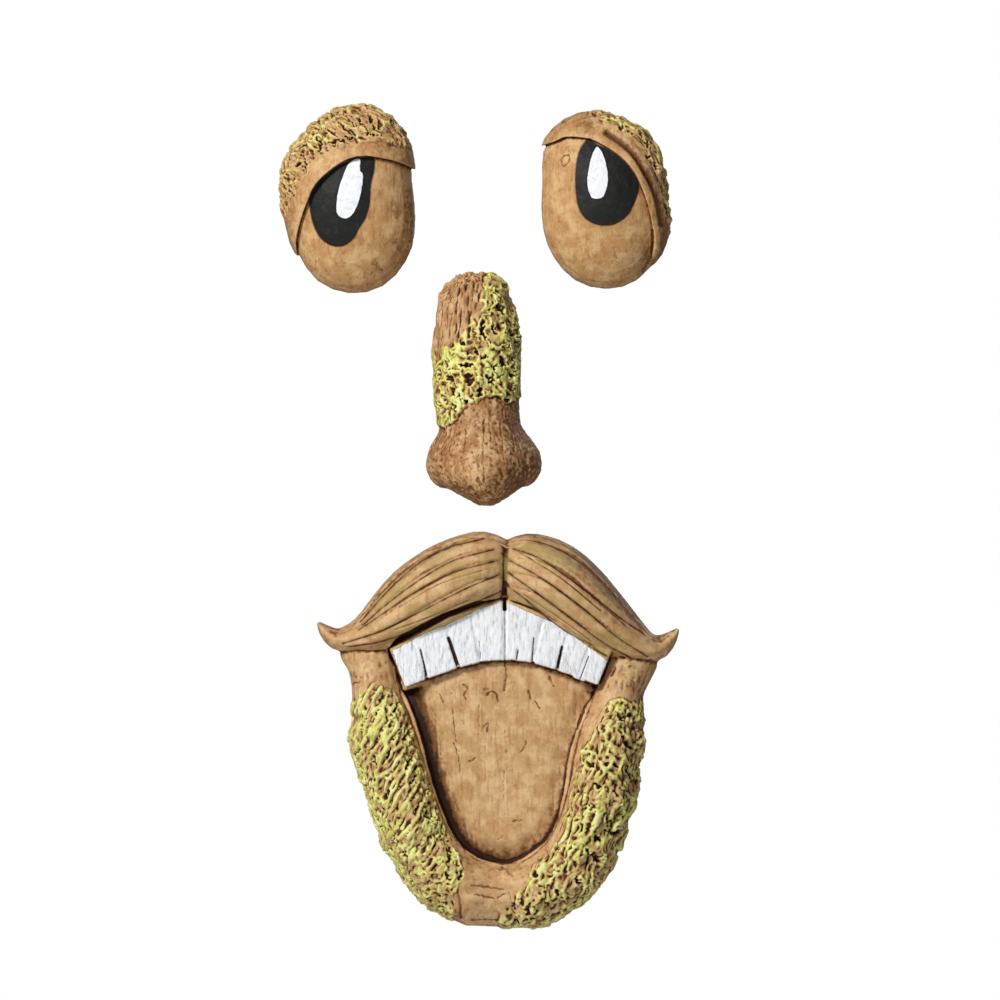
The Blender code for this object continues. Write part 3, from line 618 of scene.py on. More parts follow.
LEFT_LIP_RIDGES = [[(392, 686), (384, 704), (375, 722), 2.8], [(383, 684), (372, 700), 2.4],
                   [(402, 698), (392, 716), (378, 738), 2.8], [(408, 716), (396, 736), (386, 752), 2.6],
                   [(414, 732), (402, 752), (392, 770), 3.0], [(420, 750), (410, 768), (398, 788), 2.6],
                   [(370, 712), (362, 732), 2.6], [(366, 742), (376, 754), (366, 766), 2.0],
                   [(424, 770), (414, 790), (404, 806), 2.6], [(430, 792), (418, 812), (408, 830), 2.6],
                   [(402, 806), (398, 826), (396, 842), 2.6], [(378, 770), (372, 786), (376, 800), 2.2],
                   [(437, 815), (428, 830), (420, 846), 2.6], [(420, 852), (428, 866), (422, 880), 2.4],
                   [(436, 846), (444, 862), (456, 866), 2.4], [(455, 850), (461, 862), 2.2],
                   [(425, 884), (428, 898), (432, 912), 3.0], [(438, 878), (442, 890), (446, 900), 2.4],
                   [(380, 820), (386, 838), (392, 850), 2.2], [(400, 856), (406, 872), 2.2],
                   [(358, 758), (366, 776), 2.2], [(384, 770), (390, 776), (398, 772), 2.0]]
LEFT_LIP_CUTS = [[(414, 752), (406, 768), 2.6], [(411, 727), (403, 741), 2.4], [(390, 787), (385, 797), 3.4],
                 [(431, 781), (428, 788), 2.4], [(446, 836), (450, 848), (449, 858), 3.4],
                 [(464, 864), (459, 877), 3.0], [(392, 745), (388, 757), 2.6], [(427, 806), (431, 816), 2.6],
                 [(397, 829), (393, 843), 2.4], [(375, 812), (380, 822), 2.2], [(399, 700), (393, 714), 2.0],
                 [(379, 708), (370, 724), 2.0], [(420, 768), (408, 786), 2.0], [(374, 752), (379, 764), 2.2],
                 [(425, 795), (415, 808), 2.2], [(437, 858), (432, 868), 2.4], [(412, 874), (416, 884), 2.2],
                 [(424, 900), (428, 910), 2.2], [(446, 868), (450, 876), 2.6], [(386, 692), (380, 700), 1.8],
                 [(403, 846), (410, 856), 2.2], [(362, 746), (358, 752), 2.0]]
RIGHT_LIP_RIDGES = [[(609, 712), (611, 702), (619, 698), (628, 703), (631, 712), 2.6],
                    [(617, 708), (620, 716), (616, 722), 2.0], [(628, 706), (634, 716), (636, 728), 2.4],
                    [(598, 722), (604, 736), (613, 746), (623, 754), (632, 747), (638, 740), 4.0],
                    [(623, 754), (630, 766), (637, 780), 3.2],
                    [(584, 762), (583, 752), (592, 750), (598, 757), 2.2],
                    [(598, 757), (603, 766), (601, 776), 2.4],
                    [(603, 783), (602, 796), (598, 808), (594, 822), 5.0],
                    [(590, 800), (585, 812), (584, 826), 3.6],
                    [(594, 822), (586, 834), (574, 842), (566, 856), 3.6],
                    [(606, 768), (614, 776), (622, 786), 2.6], [(611, 790), (618, 800), (620, 812), 2.6],
                    [(560, 862), (552, 874), (545, 882), 2.6], [(577, 868), (583, 880), (580, 892), 2.4],
                    [(590, 870), (588, 884), (584, 896), 2.4], [(600, 846), (603, 858), (598, 868), 2.6],
                    [(612, 822), (620, 816), (626, 808), 2.2], [(624, 790), (630, 798), 2.4],
                    [(546, 880), (540, 892), (532, 900), 2.4], [(568, 872), (563, 886), (567, 900), 2.2]]
RIGHT_LIP_CUTS = [[(617, 712), (624, 720), 4.0], [(618, 728), (626, 742), (634, 748), 3.4],
                  [(594, 781), (598, 784), 2.8], [(607, 811), (607, 827), 3.2],
                  [(594, 833), (600, 838), 2.8],
                  [(610, 832), (620, 828), 4.2], [(591, 849), (598, 858), 4.8],
                  [(614, 846), (618, 856), 3.2],
                  [(640, 757), (641, 776), 3.4], [(587, 760), (591, 764), 3.4],
                  [(630, 800), (634, 794), 2.8],
                  [(585, 843), (588, 852), 2.4], [(533, 868), (537, 873), 3.4],
                  [(575, 873), (578, 880), 2.6],
                  [(555, 884), (558, 892), 2.4], [(568, 910), (562, 905), 2.4],
                  [(545, 897), (549, 903), 2.6],
                  [(525, 905), (530, 910), 2.4], [(514, 915), (519, 921), 2.8],
                  [(592, 885), (596, 875), 2.8],
                  [(624, 812), (628, 822), 2.8], [(612, 760), (616, 766), 2.2]]
SCRATCHES = [[(505, 660), (506, 675), (504, 690), 1.5],
             [(464, 684), (468, 688), (464, 693), (466, 698), 1.5],
             [(487, 694), (491, 691), (496, 693), (498, 700), 1.3],
             [(484, 726), (488, 722), (487, 731), 1.3],
             [(452, 692), (453, 715), (456, 740), 0.9], [(479, 700), (479, 735), 0.8],
             [(505, 730), (506, 752), 0.9],
             [(454, 742), (459, 758), (460, 772), 0.9], [(535, 700), (540, 708), 1.3],
             [(470, 760), (476, 757), 1.2],
             [(520, 751), (524, 747), (526, 740), 1.3], [(504, 770), (503, 800), 0.8],
             [(512, 820), (521, 819), 1.1],
             [(528, 690), (531, 698), 1.3], [(549, 676), (553, 685), 1.5], [(440, 694), (444, 701), 1.3],
             [(497, 838), (503, 835), 1.1], [(472, 881), (486, 883), (503, 886), 1.6],
             [(475, 890), (484, 892), (495, 895), 1.5], [(498, 894), (504, 890), 1.3],
             [(456, 878), (460, 897), (461, 917), 1.7], [(472, 918), (486, 917), (502, 918), 1.3],
             [(508, 886), (512, 900), 1.1], [(352, 684), (360, 681), 1.3], [(585, 706), (577, 728), 1.5]]
# Brown stains, with painted shadows on the cheeks under the moustache and under its curled tips, and painted
# shade on the upper right lobe.
MOUTH_STAINS_AND_SHADOWS = [[(350, 660), (372, 662), (396, 662), 6], [(640, 668), (620, 670), (606, 672), 6],
          [(354, 676), (384, 676), 10], [(608, 684), (642, 680), 12],
          [(634, 682), (642, 676), 5], [(480, 690), (500, 694), 5], [(455, 905), (462, 920), 5],
          [(512, 872), (500, 868), 5], [(420, 575), (436, 566), 5], [(575, 550), (600, 575), 6],
          [(535, 538), (583, 560), (613, 594), (640, 626), 13],
          [(548, 560), (585, 590), (618, 626), 22], [(482, 536), (430, 555), (395, 582), (365, 612), 8],
          [(345, 640), (330, 634), (322, 626), 6], [(650, 640), (665, 640), (676, 632), 7]]
print("strokes on the lips:", len(LEFT_LIP_RIDGES + LEFT_LIP_CUTS + RIGHT_LIP_RIDGES + RIGHT_LIP_CUTS))


# %% Fill the gaps between the teeth
def fill_tooth_gaps(piece):
    """Puts a thin block in each gap, behind the moustache's front, and joins it to the mouth."""
    blocks = []
    for foot, root, _ in TOOTH_LINES:
        (x0, z0), (x1, z1) = on_trunk(foot), on_trunk(root)
        lean = math.atan2(x1 - x0, z1 - z0)
        length = 22 * MM
        middle = (x0 + length / 2 * math.sin(lean), -12 * MM, z0 + 1.2 * MM + length / 2 * math.cos(lean))
        bpy.ops.mesh.primitive_cube_add(size=1, location=middle, rotation=(0, lean, 0))
        block = bpy.context.active_object
        block.scale = (5 * MM, 8 * MM, length)
        blocks.append(block)
    select_only(piece)
    for block in blocks:
        block.select_set(True)
    bpy.ops.object.join()


# %% Sink the tongue's edge
def sink_tongue_edge(skin, teeth_depth):
    """Cuts a channel round the tongue, deepest at the left, so that the lip stands over it. Gives the
    painted shadow and wash along the lip's edge.
    """
    inside = depth_inside(drawn_through(INNER_LIP, True, 4), skin.spots) + 1.5 * MM
    side = np.clip((skin.spots[:, 0] - 7 * MM) / (28 * MM), -1, 1)
    width = (7 - 2 * side) * MM + 4 * MM
    fall = soft_step(inside, 0, 1.0 * MM) * (1 - soft_step(inside, 2.5 * MM, width))
    under_teeth = soft_step(-teeth_depth, 0.2 * MM, 2.5 * MM)
    panel = (skin.points[:, 1] < -6 * MM) & (skin.normals()[:, 1] < 0.3)
    skin.points[:, 1] += np.where(panel, (3.4 - 2.2 * side) * MM * fall * under_teeth, 0)
    # Painted shadow with wash under the lip's inner edge, widest and darkest at the left.
    shade = np.exp(-np.clip(inside - 1 * MM, 0, 1) / ((2.4 - 1.5 * side) * MM))
    return shade * (inside > 0) * under_teeth * (0.9 - 0.8 * side)


# %% Bark on the lips
def left_lip(points, rough_spots, lace, pit, thin, lumps):
    """Height, crests and stain: sloping strands, which turn into a mossy web at the chin."""
    low = soft_step(-points[:, 2], 0.185, 0.215)
    broad = strands(points, 2.0 * MM, 57, 4.5, 1.0)
    slot = strands(points, 1.9 * MM, 60, 4.5, 14.0, 0.28, 0.5)
    ridge, cut = strokes(rough_spots, LEFT_LIP_RIDGES, 0.1), strokes(rough_spots, LEFT_LIP_CUTS)
    strand_crest = np.maximum(0.7 * broad + 0.35 * thin, 1.1 * ridge) + 0.24
    crest = strand_crest * (1 - 0.7 * low) + 0.7 * low * lace
    height = 1.05 * broad * (1 - 0.5 * low) + 0.3 * thin + 0.7 * ridge + low * (0.5 * lace - 0.7 * pit)
    height += 1.0 * lumps - 0.7 * slot * (1 - ridge) - 1.6 * cut - 0.5
    return height, crest, 0.4 * cut + 0.05 * slot * (1 - ridge) - 0.2


def right_lip(points, rough_spots, lace, pit, thin, lumps):
    """Height, crests and stain: steeper and shorter strands, with thicker ridges over them."""
    steep = strands(points, 2.3 * MM, 72, 2.6, 3.0)
    cut = strokes(rough_spots, RIGHT_LIP_CUTS)
    ridge = strokes(rough_spots, thicker(RIGHT_LIP_RIDGES, 1.35), 0.1) * (1 - cut)
    slot = strands(points, 2.0 * MM, 76, 2.4, 24.0, 0.28, 0.5)
    strand_crest = 0.5 * steep + 0.3 * lace + 0.2 * thin + 0.12 * lumps
    crest = np.maximum(strand_crest, 1.2 * ridge) * (1 - cut)
    height = 0.9 * steep + 0.35 * lace + 0.2 * thin + 1.1 * ridge - 0.7 * pit * (1 - ridge)
    height += 1.8 * lumps - 0.7 * slot * (1 - ridge) - 2.3 * cut - 0.4
    return height, crest, 0.12 + 0.45 * cut + 0.15 * slot * (1 - ridge)


# %% Locks of the moustache
def groove_moustache(points, spots, teeth_depth, height, stain):
    """Adds the grooves to height and stain. Gives where the hair is, its gaps and faint gaps."""
    lobes = np.maximum(depth_inside(drawn_through(LEFT_LOBE, True, 3), spots),
                       depth_inside(drawn_through(RIGHT_LOBE, True, 3), spots))
    hair = (lobes > -0.3 * MM) & (points[:, 1] < -12.5 * MM)
    hair &= (teeth_depth < -0.2 * MM) | (points[:, 1] < -17.2 * MM)
    wander = 0.22 * grain(points, 3 * MM, 41)
    gap = np.where(hair, nearest_of(LOCKS, spots) + wander, FAR)
    faint = nearest_of(FAINT_LOCKS, spots)
    height += hair * (0.2 * soft_step(gap, 0, 2.4) - 0.35 * (1 - soft_step(gap, 0.0, 0.6)))
    height -= hair * 0.2 * (1 - soft_step(faint + wander, 0.0, 0.6))
    height += hair * 0.1 * grain(points, 2.2 * MM, 43)
    parting = distance_to(drawn_through(PARTING), spots) / MM
    in_parting = hair * (points[:, 1] < -14 * MM)
    height -= in_parting * (0.7 * (1 - soft_step(parting, 0.2, 3.0))
                            + 0.3 * (1 - soft_step(parting, 0.0, 0.8)))
    stain += in_parting * 0.15 * (1 - soft_step(parting, 0.2, 1.6))
    # Darker along the lobes' outlines.
    stain += hair * 0.3 * (1 - soft_step(lobes, 0.2 * MM, 1.6 * MM))
    return hair, gap, faint


# %% Teeth
def part_teeth(points, spots, teeth_depth, facing, height):
    """Adds the lines between the teeth to height. Gives the teeth and the distance to a line."""
    on_teeth = soft_step(teeth_depth, -0.1 * MM, 0.1 * MM) * soft_step(facing, 0.5, 0.75)
    on_teeth = on_teeth * (points[:, 1] > -17.6 * MM) * (points[:, 1] < -14.3 * MM)
    tooth_gap = np.full(len(spots), FAR)
    for foot, root, width in TOOTH_LINES:
        away = distance_to(on_trunk((foot, root)), spots) / PIXEL / width
        tooth_gap = np.minimum(tooth_gap, away)
        height -= on_teeth * (0.3 + 0.4 * width) * (1 - soft_step(away, 0.25, 0.9))
    height += on_teeth * (0.22 * grain(turned(points, 84, 4), 1.0 * MM, 31)
                          + 0.2 * grain(points, 2.2 * MM, 30))
    return on_teeth, tooth_gap


# %% Carve the mouth
def carve_mouth():
    piece = copy_of("mouth", "mouth_cast")
    fill_tooth_gaps(piece)
    skin = Skin(piece, 0.48 * MM, KEYHOLES["mouth"])
    teeth_depth = depth_inside(on_trunk(TEETH), skin.spots)
    skin.relax(40, 0.06 + 0.94 * soft_step(-teeth_depth, 0.5 * MM, 3.0 * MM))
    lip_shadow_and_wash = sink_tongue_edge(skin, teeth_depth)

    spots, points = skin.spots.copy(), skin.points.copy()
    facing = -skin.normals()[:, 1]
    raised = soft_step(-points[:, 1], 0.5 * MM, 3 * MM)
    ragged = 1.5 * MM * grain(points, 3.2 * MM, 5)
    left_bark = soft_step(depth_inside(on_trunk(LEFT_BARK_LIP), spots) + ragged, -0.6 * MM, 1.2 * MM)
    right_bark = soft_step(depth_inside(on_trunk(RIGHT_BARK_LIP), spots) + ragged, -1.0 * MM, 1.4 * MM)
    walls, chance = web(points, 3.9 * MM, 2.0, 0.5)
    lace = 1 - soft_step(walls, 0.08, 0.55)
    pit = soft_step(chance, 0.45, 0.9) * soft_step(walls, 0.15, 0.5)
    thin = strands(points, 1.1 * MM, 62, 3.0, 6.0)
    lumps = grain(points, 7 * MM, 19)
    rough_spots = shaken(points, 1.4 * MM, 1.1 * MM)
    left, left_crest, left_stain = left_lip(points, rough_spots, lace, pit, thin, lumps)
    right, right_crest, right_stain = right_lip(points, rough_spots, lace, pit, thin, lumps)
    height = left_bark * (left + 0.2) + right_bark * (right + 0.2)
    crest = left_bark * left_crest + right_bark * right_crest
    # The tongue's edge takes the painted shadow and wash from under the lip.
    stain = lip_shadow_and_wash + left_bark * left_stain + right_bark * right_stain
    hair, gap, faint = groove_moustache(points, spots, teeth_depth, height, stain)
    on_teeth, tooth_gap = part_teeth(points, spots, teeth_depth, facing, height)

    plain = (1 - left_bark) * (1 - right_bark) * (1 - on_teeth) * ~hair
    streaks = grain(turned(points, 88, 9), 1.6 * MM, 22)
    line = line_depth(shaken(points, 1.5 * MM, 0.6 * MM), SCRATCHES)
    line = np.maximum(np.where(plain > 0.5, line, NO_LINE), np.where(hair, 0.12 - faint, NO_LINE))
    height += plain * (0.16 * streaks + 0.16 * grain(points, 4 * MM, 27) + 0.08 * grain(points, 1.2 * MM, 8))
    height -= 0.25 * soft_step(line, -0.4, 0.1)
    # Stains and painted shadows from the drawn strokes, kept off the teeth.
    stain += (1 - on_teeth) * 0.45 * strokes(shaken(points, 3 * MM, 3 * MM), MOUTH_STAINS_AND_SHADOWS, 0.0)
    skin.push(height * MM * raised)
    skin.relax(1, 0.5 * (1 - 0.8 * on_teeth))

    note_relief(skin, 0.35 * MM, 1.4 * MM, crest, stain)
    skin.marks["moss"] = np.maximum(left_bark, right_bark)
    skin.marks["line"] = line
    skin.marks["tooth"] = on_teeth
    skin.marks["tooth_edge"] = teeth_depth / MM
    skin.marks["tooth_gap"] = tooth_gap
    skin.marks["hair"] = hair * 1.0
    skin.marks["hair_gap"] = gap
    skin.finish(196000)
    return skin.piece


mouth = carve_mouth()

# %% [markdown]
# ## Paint
# The castings are tan resin. A dark wash is wiped over them and stays in the hollows, stains
# of brown wander over the smooth parts, and green is dry-brushed over the moss. Three node
# groups hold these steps, and each material strings them together with its own colours.
# The wash group also lays painted shade and shadows over the castings.

# %% Colours
TAN = (0.53, 0.31, 0.135, 1)
PALE_TAN = (0.67, 0.45, 0.23, 1)
BROWN = (0.30, 0.115, 0.033, 1)
# Brown wash, also used for painted shade; the deep one also for the painted shadow inside the left lip.
WASH_AND_SHADE = (0.16, 0.052, 0.014, 1)
DEEP_WASH_AND_SHADOW = (0.026, 0.008, 0.002, 1)
OLIVE = (0.42, 0.34, 0.12, 1)
MOSS_GREEN = (0.60, 0.63, 0.10, 1)
PALE_MOSS = (0.82, 0.83, 0.40, 1)
BLACK = (0.011, 0.011, 0.010, 1)
WHITE = (0.80, 0.815, 0.84, 1)
EYE_TAN = (0.48, 0.265, 0.105, 1)
EYE_PALE = (0.61, 0.39, 0.185, 1)
SCUFFED_BLACK = (0.035, 0.033, 0.03, 1)
GLINT_EDGE_SHADE = (0.006, 0.006, 0.006, 1)
CHALKY = (0.55, 0.57, 0.64, 1)
NOSE_TAN = (0.38, 0.195, 0.08, 1)
NOSE_PALE = (0.62, 0.40, 0.20, 1)
HAIR_OLIVE = (0.36, 0.27, 0.08, 1)
LOCK_BROWN = (0.05, 0.018, 0.008, 1)
TOOTH_GREY = (0.44, 0.445, 0.47, 1)
CRACK_BROWN = (0.03, 0.013, 0.007, 1)


# %% Helpers for nodes
def add(tree, kind, **settings):
    node = tree.nodes.new("ShaderNode" + kind)
    for name, value in settings.items():
        setattr(node, name, value)
    return node


def mark(tree, name):
    return add(tree, "Attribute", attribute_name=name).outputs["Fac"]


def number(tree, operation, first, second=0.0):
    node = add(tree, "Math", operation=operation)
    for socket, value in zip(node.inputs, (first, second)):
        if isinstance(value, (int, float)):
            socket.default_value = value
        else:
            tree.links.new(value, socket)
    return node.outputs[0]


def product(tree, *values):
    total = values[0]
    for value in values[1:]:
        total = number(tree, "MULTIPLY", total, value)
    return total


def total_of(tree, *values):
    total = values[0]
    for value in values[1:]:
        total = number(tree, "ADD", total, value)
    return total


def ramp(tree, value, low, high):
    """0 at low, 1 at high, with an even curve between."""
    node = add(tree, "MapRange", interpolation_type="SMOOTHSTEP")
    node.inputs["From Min"].default_value = min(low, high)
    node.inputs["From Max"].default_value = max(low, high)
    if low > high:
        node.inputs["To Min"].default_value = 1
        node.inputs["To Max"].default_value = 0
    tree.links.new(value, node.inputs["Value"])
    return node.outputs["Result"]


def mix(tree, share, first, second):
    node = add(tree, "Mix", data_type="RGBA", clamp_factor=True)
    for index, value in ((0, share), (6, first), (7, second)):
        if isinstance(value, (int, float, tuple)):
            node.inputs[index].default_value = value
        else:
            tree.links.new(value, node.inputs[index])
    return node.outputs[2]


def blotches(tree, place, size, detail=3.0, rough=0.55, squeeze=None):
    """Noise from 0 to 1 with patches of this size, on the casting's own coordinates."""
    if squeeze:
        mapping = add(tree, "Mapping")
        mapping.inputs["Scale"].default_value = squeeze
        tree.links.new(place, mapping.inputs["Vector"])
        place = mapping.outputs[0]
    node = add(tree, "TexNoise", normalize=True)
    node.inputs["Scale"].default_value = 1 / size
    node.inputs["Detail"].default_value = detail
    node.inputs["Roughness"].default_value = rough
    tree.links.new(place, node.inputs["Vector"])
    return node.outputs["Fac"]


def wobble(tree, place, size, amount, detail=3.0):
    """Noise round 0 that reaches about a third of the amount each way."""
    return product(tree, number(tree, "SUBTRACT", blotches(tree, place, size, detail, 0.65), 0.5), amount)


def new_group(name, inputs, outputs):
    group = bpy.data.node_groups.new(name, "ShaderNodeTree")
    for label, kind in inputs:
        group.interface.new_socket(label, in_out="INPUT", socket_type="NodeSocket" + kind)
    for label, kind in outputs:
        group.interface.new_socket(label, in_out="OUTPUT", socket_type="NodeSocket" + kind)
    return group, group.nodes.new("NodeGroupInput"), group.nodes.new("NodeGroupOutput")


# %% [markdown]
# ### Stained resin
# The bare resin isn't one tan: pale clouds, warm brown stains and small specks break it up.
# Noise at several sizes does this, and it also gives the skin a little tooth for the bump.

# %% Group: stained resin
stained, into, out = new_group(
    "stained resin",
    [("Place", "Vector"), ("Body", "Color"), ("Pale", "Color"), ("Stain", "Color"), ("Stains", "Float")],
    [("Color", "Color"), ("Height", "Float")],
)
place = into.outputs["Place"]
amount = into.outputs["Stains"]
clouds = ramp(stained, blotches(stained, place, 7 * MM), 0.38, 0.64)
colour = mix(stained, clouds, into.outputs["Body"], into.outputs["Pale"])
patches = ramp(stained, blotches(stained, place, 4.5 * MM, 5, 0.7), 0.48, 0.72)
colour = mix(stained, product(stained, patches, amount, 0.8), colour, into.outputs["Stain"])
runs = ramp(stained, blotches(stained, place, 1.6 * MM, 3, 0.6, (1, 1, 0.13)), 0.50, 0.74)
colour = mix(stained, product(stained, runs, amount), colour, into.outputs["Stain"])
specks = ramp(stained, blotches(stained, place, 1.2 * MM, 3, 0.6), 0.56, 0.74)
colour = mix(stained, product(stained, specks, amount, 0.9), colour, into.outputs["Stain"])
lights = ramp(stained, blotches(stained, place, 1.6 * MM, 3, 0.6), 0.44, 0.28)
colour = mix(stained, product(stained, lights, 0.5), colour, into.outputs["Pale"])
stained.links.new(colour, out.inputs["Color"])
stained.links.new(blotches(stained, place, 0.9 * MM, 4, 0.6), out.inputs["Height"])

# %% [markdown]
# ### Wash in the hollows, and painted shade
# The wash is thin brown at the edge of a hollow and nearly black at its bottom, so it takes
# two mixes: one for any hollow, one for deep and wide ones. Crests are rubbed a little paler.

# %% Group: dark wash
washed_and_shaded, into, out = new_group(
    "dark wash",
    [("Place", "Vector"), ("Color", "Color"), ("Amount", "Float")],
    [("Color", "Color")],
)
place = into.outputs["Place"]
hollow = mark(washed_and_shaded, "hollow")
low = total_of(washed_and_shaded, hollow, product(washed_and_shaded, mark(washed_and_shaded, "crease"), 0.55),
               wobble(washed_and_shaded, place, 1.6 * MM, 0.5))
# The stain mark brings real stains and painted shade and shadows into both mixes.
stain = mark(washed_and_shaded, "stain")
thin = product(washed_and_shaded, ramp(washed_and_shaded, total_of(washed_and_shaded, low, stain), 0.08, 0.66), into.outputs["Amount"])
colour = mix(washed_and_shaded, thin, into.outputs["Color"], WASH_AND_SHADE)
deep = total_of(washed_and_shaded, low, product(washed_and_shaded, stain, 0.6))
colour = mix(washed_and_shaded, ramp(washed_and_shaded, deep, 0.5, 1.05), colour, DEEP_WASH_AND_SHADOW)
line = total_of(washed_and_shaded, mark(washed_and_shaded, "line"), wobble(washed_and_shaded, place, 1.2 * MM, 0.7))
colour = mix(washed_and_shaded, product(washed_and_shaded, ramp(washed_and_shaded, line, -0.25, 0.2), 0.65), colour, WASH_AND_SHADE)
rubbed = product(washed_and_shaded, ramp(washed_and_shaded, hollow, -0.2, -0.9), 0.35)
colour = mix(washed_and_shaded, rubbed, colour, PALE_TAN)
washed_and_shaded.links.new(colour, out.inputs["Color"])

# %% [markdown]
# ### Moss
# The green is dragged over the bark with a nearly dry brush. It only touches the crests, and
# its edge is broken by the brush, so noise is added to the height before it is cut off.

# %% Group: dry-brushed moss
mossed, into, out = new_group(
    "dry-brushed moss",
    [("Place", "Vector"), ("Color", "Color"), ("Brush", "Float")],
    [("Color", "Color")],
)
moss = mark(mossed, "moss")
place = into.outputs["Place"]
level = total_of(mossed, mark(mossed, "crest"), wobble(mossed, place, 1.3 * MM, 0.9),
                 wobble(mossed, place, 9 * MM, 1.7, 1), into.outputs["Brush"])
colour = into.outputs["Color"]
for low, high, cover, green in ((-0.1, 0.45, 0.5, OLIVE), (0.40, 0.70, 1.0, MOSS_GREEN),
                                (0.66, 1.0, 0.85, PALE_MOSS)):
    colour = mix(mossed, product(mossed, ramp(mossed, level, low, high), cover, moss), colour, green)
mossed.links.new(colour, out.inputs["Color"])


# %% Use the groups in a material
def use(tree, group, **sockets):
    node = tree.nodes.new("ShaderNodeGroup")
    node.node_tree = group
    for name, value in sockets.items():
        if isinstance(value, (int, float, tuple)):
            node.inputs[name].default_value = value
        else:
            tree.links.new(value, node.inputs[name])
    return node


def resin_material(name, body, pale, stain, stains, brush):
    """Stained resin, moss, and wash with painted shade in that order, with room for paint before the shader.
    """
    material = bpy.data.materials.new(name)
    material.use_nodes = True
    tree = material.node_tree
    place = add(tree, "TexCoord").outputs["Object"]
    base = use(tree, stained, Place=place, Body=body, Pale=pale, Stain=stain, Stains=stains)
    moss = use(tree, mossed, Place=place, Color=base.outputs["Color"], Brush=brush)
    wash = use(tree, washed_and_shaded, Place=place, Color=moss.outputs["Color"], Amount=0.9)
    return material, tree, place, base.outputs["Height"], wash.outputs["Color"]


def connect(tree, place, colour, height):
    shader = tree.nodes["Principled BSDF"]
    shader.inputs["Specular IOR Level"].default_value = 0.2
    bump = add(tree, "Bump")
    bump.inputs["Strength"].default_value = 0.4
    bump.inputs["Distance"].default_value = 0.25 * MM
    tree.links.new(height, bump.inputs["Height"])
    tree.links.new(bump.outputs[0], shader.inputs["Normal"])
    tree.links.new(colour, shader.inputs["Base Color"])
    roughness = total_of(tree, product(tree, blotches(tree, place, 3 * MM), 0.25), 0.45)
    tree.links.new(roughness, shader.inputs["Roughness"])


# %% [markdown]
# ### Eye paint
# The pupil is flat black with a white glint. Both edges come from the distances kept on the
# skin, and a little noise keeps them from looking printed.

# %% Material: eyes
def eye_material():
    material, tree, place, height, colour = resin_material(
        "painted eye", EYE_TAN, EYE_PALE, BROWN, stains=0.7, brush=-0.2)
    shake = wobble(tree, place, 1.5 * MM, 0.6)
    iris_edge = total_of(tree, mark(tree, "iris"), shake)
    glint_edge = total_of(tree, mark(tree, "glint"), shake)
    colour = mix(tree, product(tree, ramp(tree, iris_edge, -0.7, -0.05), 0.6), colour, WASH_AND_SHADE)
    scuffs = ramp(tree, blotches(tree, place, 2.2 * MM, 5, 0.7), 0.52, 0.8)
    scuffed = mix(tree, scuffs, BLACK, SCUFFED_BLACK)
    colour = mix(tree, ramp(tree, iris_edge, -0.12, 0.12), colour, scuffed)
    # A near-black ring round the glint is painted shade along its edge.
    colour = mix(tree, ramp(tree, glint_edge, -1.0, -0.4), colour, GLINT_EDGE_SHADE)
    chalk = ramp(tree, blotches(tree, place, 1.8 * MM, 4, 0.6), 0.45, 0.8)
    colour = mix(tree, ramp(tree, glint_edge, -0.1, 0.1), colour, mix(tree, chalk, WHITE, CHALKY))
    connect(tree, place, colour, height)
    return material


# %% Material: nose
def nose_material():
    material, tree, place, height, colour = resin_material(
        "mossy nose", NOSE_TAN, NOSE_PALE, BROWN, stains=1.0, brush=-0.06)
    connect(tree, place, colour, height)
    return material


# %% [markdown]
# ### Mouth paint
# The teeth are white, scratched and thin enough for brown to show at their edges. The locks of
# the moustache have an olive tint, and a fine dark line runs between them.

# %% Material: mouth
def mouth_material():
    material, tree, place, height, colour = resin_material(
        "laughing mouth", TAN, PALE_TAN, BROWN, stains=0.5, brush=-0.10)
    hair = mark(tree, "hair")
    tint = ramp(tree, blotches(tree, place, 12 * MM, 2, 0.5, (0.5, 1, 1.3)), 0.44, 0.58)
    clean = ramp(tree, mark(tree, "stain"), 0.6, 0.2)
    colour = mix(tree, product(tree, tint, hair, clean, 0.55), colour, HAIR_OLIVE)
    gap = total_of(tree, mark(tree, "hair_gap"), wobble(tree, place, 1.2 * MM, 0.5))
    colour = mix(tree, product(tree, ramp(tree, gap, 1.5, 0.1), 0.4), colour, WASH_AND_SHADE)
    colour = mix(tree, product(tree, ramp(tree, gap, 0.42, 0.05), 0.9), colour, LOCK_BROWN)

    tooth = mark(tree, "tooth")
    scratches = blotches(tree, place, 0.8 * MM, 4, 0.7, (1, 1, 0.16))
    white = mix(tree, ramp(tree, scratches, 0.46, 0.72), WHITE, TOOTH_GREY)
    edge = total_of(tree, mark(tree, "tooth_edge"), wobble(tree, place, 1.0 * MM, 0.9))
    white = mix(tree, ramp(tree, edge, 0.35, 0.0), white, WASH_AND_SHADE)
    colour = mix(tree, ramp(tree, tooth, 0.35, 0.65), colour, white)
    crack = total_of(tree, mark(tree, "tooth_gap"), wobble(tree, place, 1.0 * MM, 0.8))
    colour = mix(tree, product(tree, ramp(tree, crack, 0.85, 0.35), tooth), colour, CRACK_BROWN)
    connect(tree, place, colour, height)
    return material


# %% Paint the castings and hang them on the frame
eye_paint = eye_material()
for piece, node, slot, paint in (
    (left_eye, "left_eye", "eye_resin", eye_paint),
    (right_eye, "right_eye", "eye_resin", eye_paint),
    (nose, "nose", "nose_resin", nose_material()),
    (mouth, "mouth", "mouth_resin", mouth_material()),
):
    piece.data.materials.clear()
    piece.data.materials.append(paint)
    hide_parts(node)
    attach(piece, "root")

# %% [markdown]
# ## The studio
# The castings float in front of plain white, as in the photograph. The main light stands to
# the left, which throws the deep shadow inside the left lip. A pale floor lies out of view.

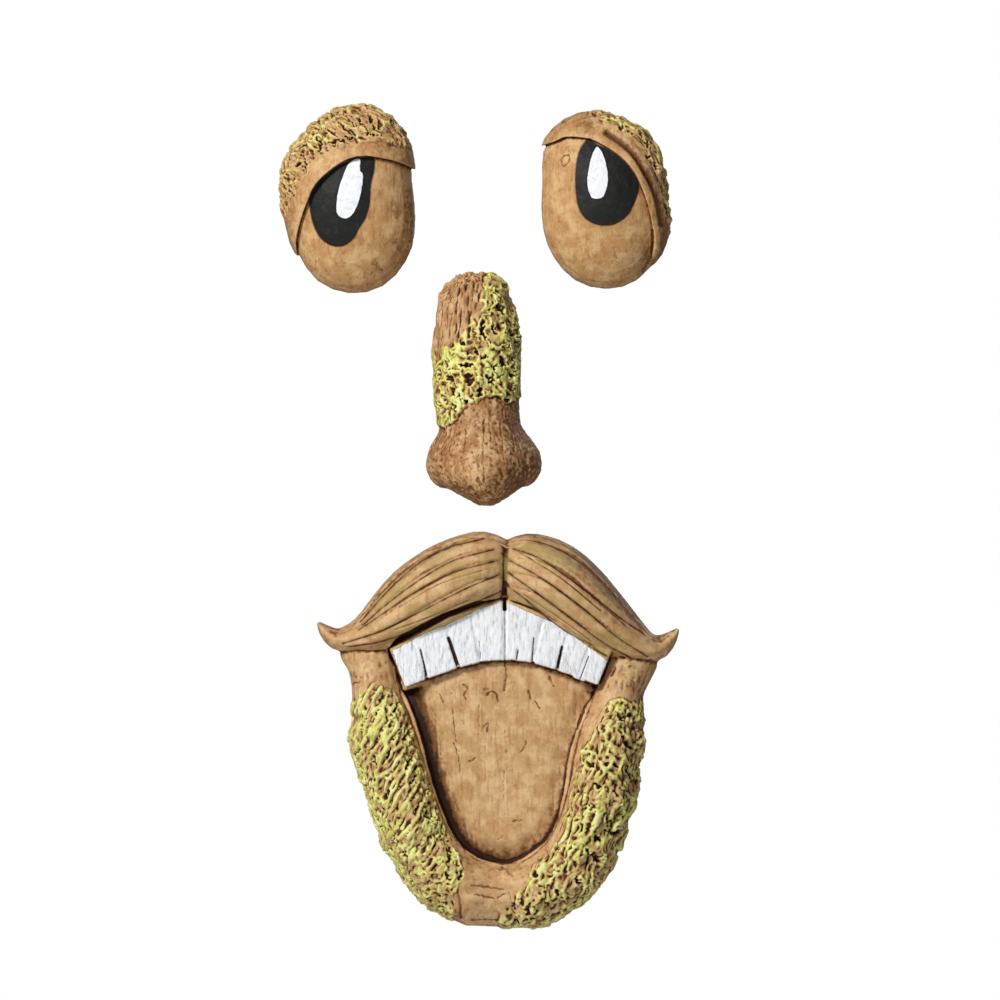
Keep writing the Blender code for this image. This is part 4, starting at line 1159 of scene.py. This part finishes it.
# %% Floor
bpy.ops.mesh.primitive_plane_add(size=1.4, location=(0, -0.2, -0.45))
floor = bpy.context.active_object
floor.name = "floor"
floor_paint = bpy.data.materials.new("pale floor")
floor_paint.use_nodes = True
floor_shader = floor_paint.node_tree.nodes["Principled BSDF"]
floor_shader.inputs["Base Color"].default_value = (0.85, 0.85, 0.84, 1)
floor_shader.inputs["Roughness"].default_value = 0.8
floor.data.materials.append(floor_paint)

# %% Lights and the white round them
AIM = Vector((0.0072, 0.0, -0.0495))
WORLD_LIGHT = 0.17


def soft_light(name, place, size, power):
    """A square lamp that points at the middle of the face. Size in metres, power in watts."""
    lamp = bpy.data.lights.new(name, "AREA")
    lamp.size = size
    lamp.energy = power
    light = bpy.data.objects.new(name, lamp)
    light.location = place
    light.rotation_euler = (AIM - Vector(place)).to_track_quat("-Z", "Y").to_euler()
    bpy.context.scene.collection.objects.link(light)


soft_light("main_light", (-0.72, -1.10, 0.72), 0.30, 23.5)
soft_light("front_fill", (0.35, -1.40, 0.10), 0.9, 1.0)
soft_light("back_light", (0.7, 1.1, 0.6), 0.8, 3)

world = bpy.data.worlds.new("white studio")
world.use_nodes = True
bpy.context.scene.world = world
seen = add(world.node_tree, "LightPath").outputs["Is Camera Ray"]
white = number(world.node_tree, "MULTIPLY", seen, 1 - WORLD_LIGHT)
strength = number(world.node_tree, "ADD", white, WORLD_LIGHT)
backdrop = world.node_tree.nodes["Background"]
backdrop.inputs["Color"].default_value = (1, 1, 1, 1)
world.node_tree.links.new(strength, backdrop.inputs["Strength"])
bpy.context.scene.view_settings.view_transform = "Standard"

# %% Camera, as far away as a long lens needs for the photograph's frame
FRAME_WIDTH = 0.45
LENS = 150
SENSOR_WIDTH = 36
camera = bpy.data.objects.new("camera", bpy.data.cameras.new("camera"))
camera.data.lens = LENS
camera.data.sensor_width = SENSOR_WIDTH
distance = FRAME_WIDTH * LENS / SENSOR_WIDTH
camera.location = AIM + Vector((0, -distance - 4 * MM, 0))
camera.rotation_euler = (math.radians(90), 0, 0)
camera.data.clip_end = 20
bpy.context.scene.collection.objects.link(camera)
bpy.context.scene.camera = camera
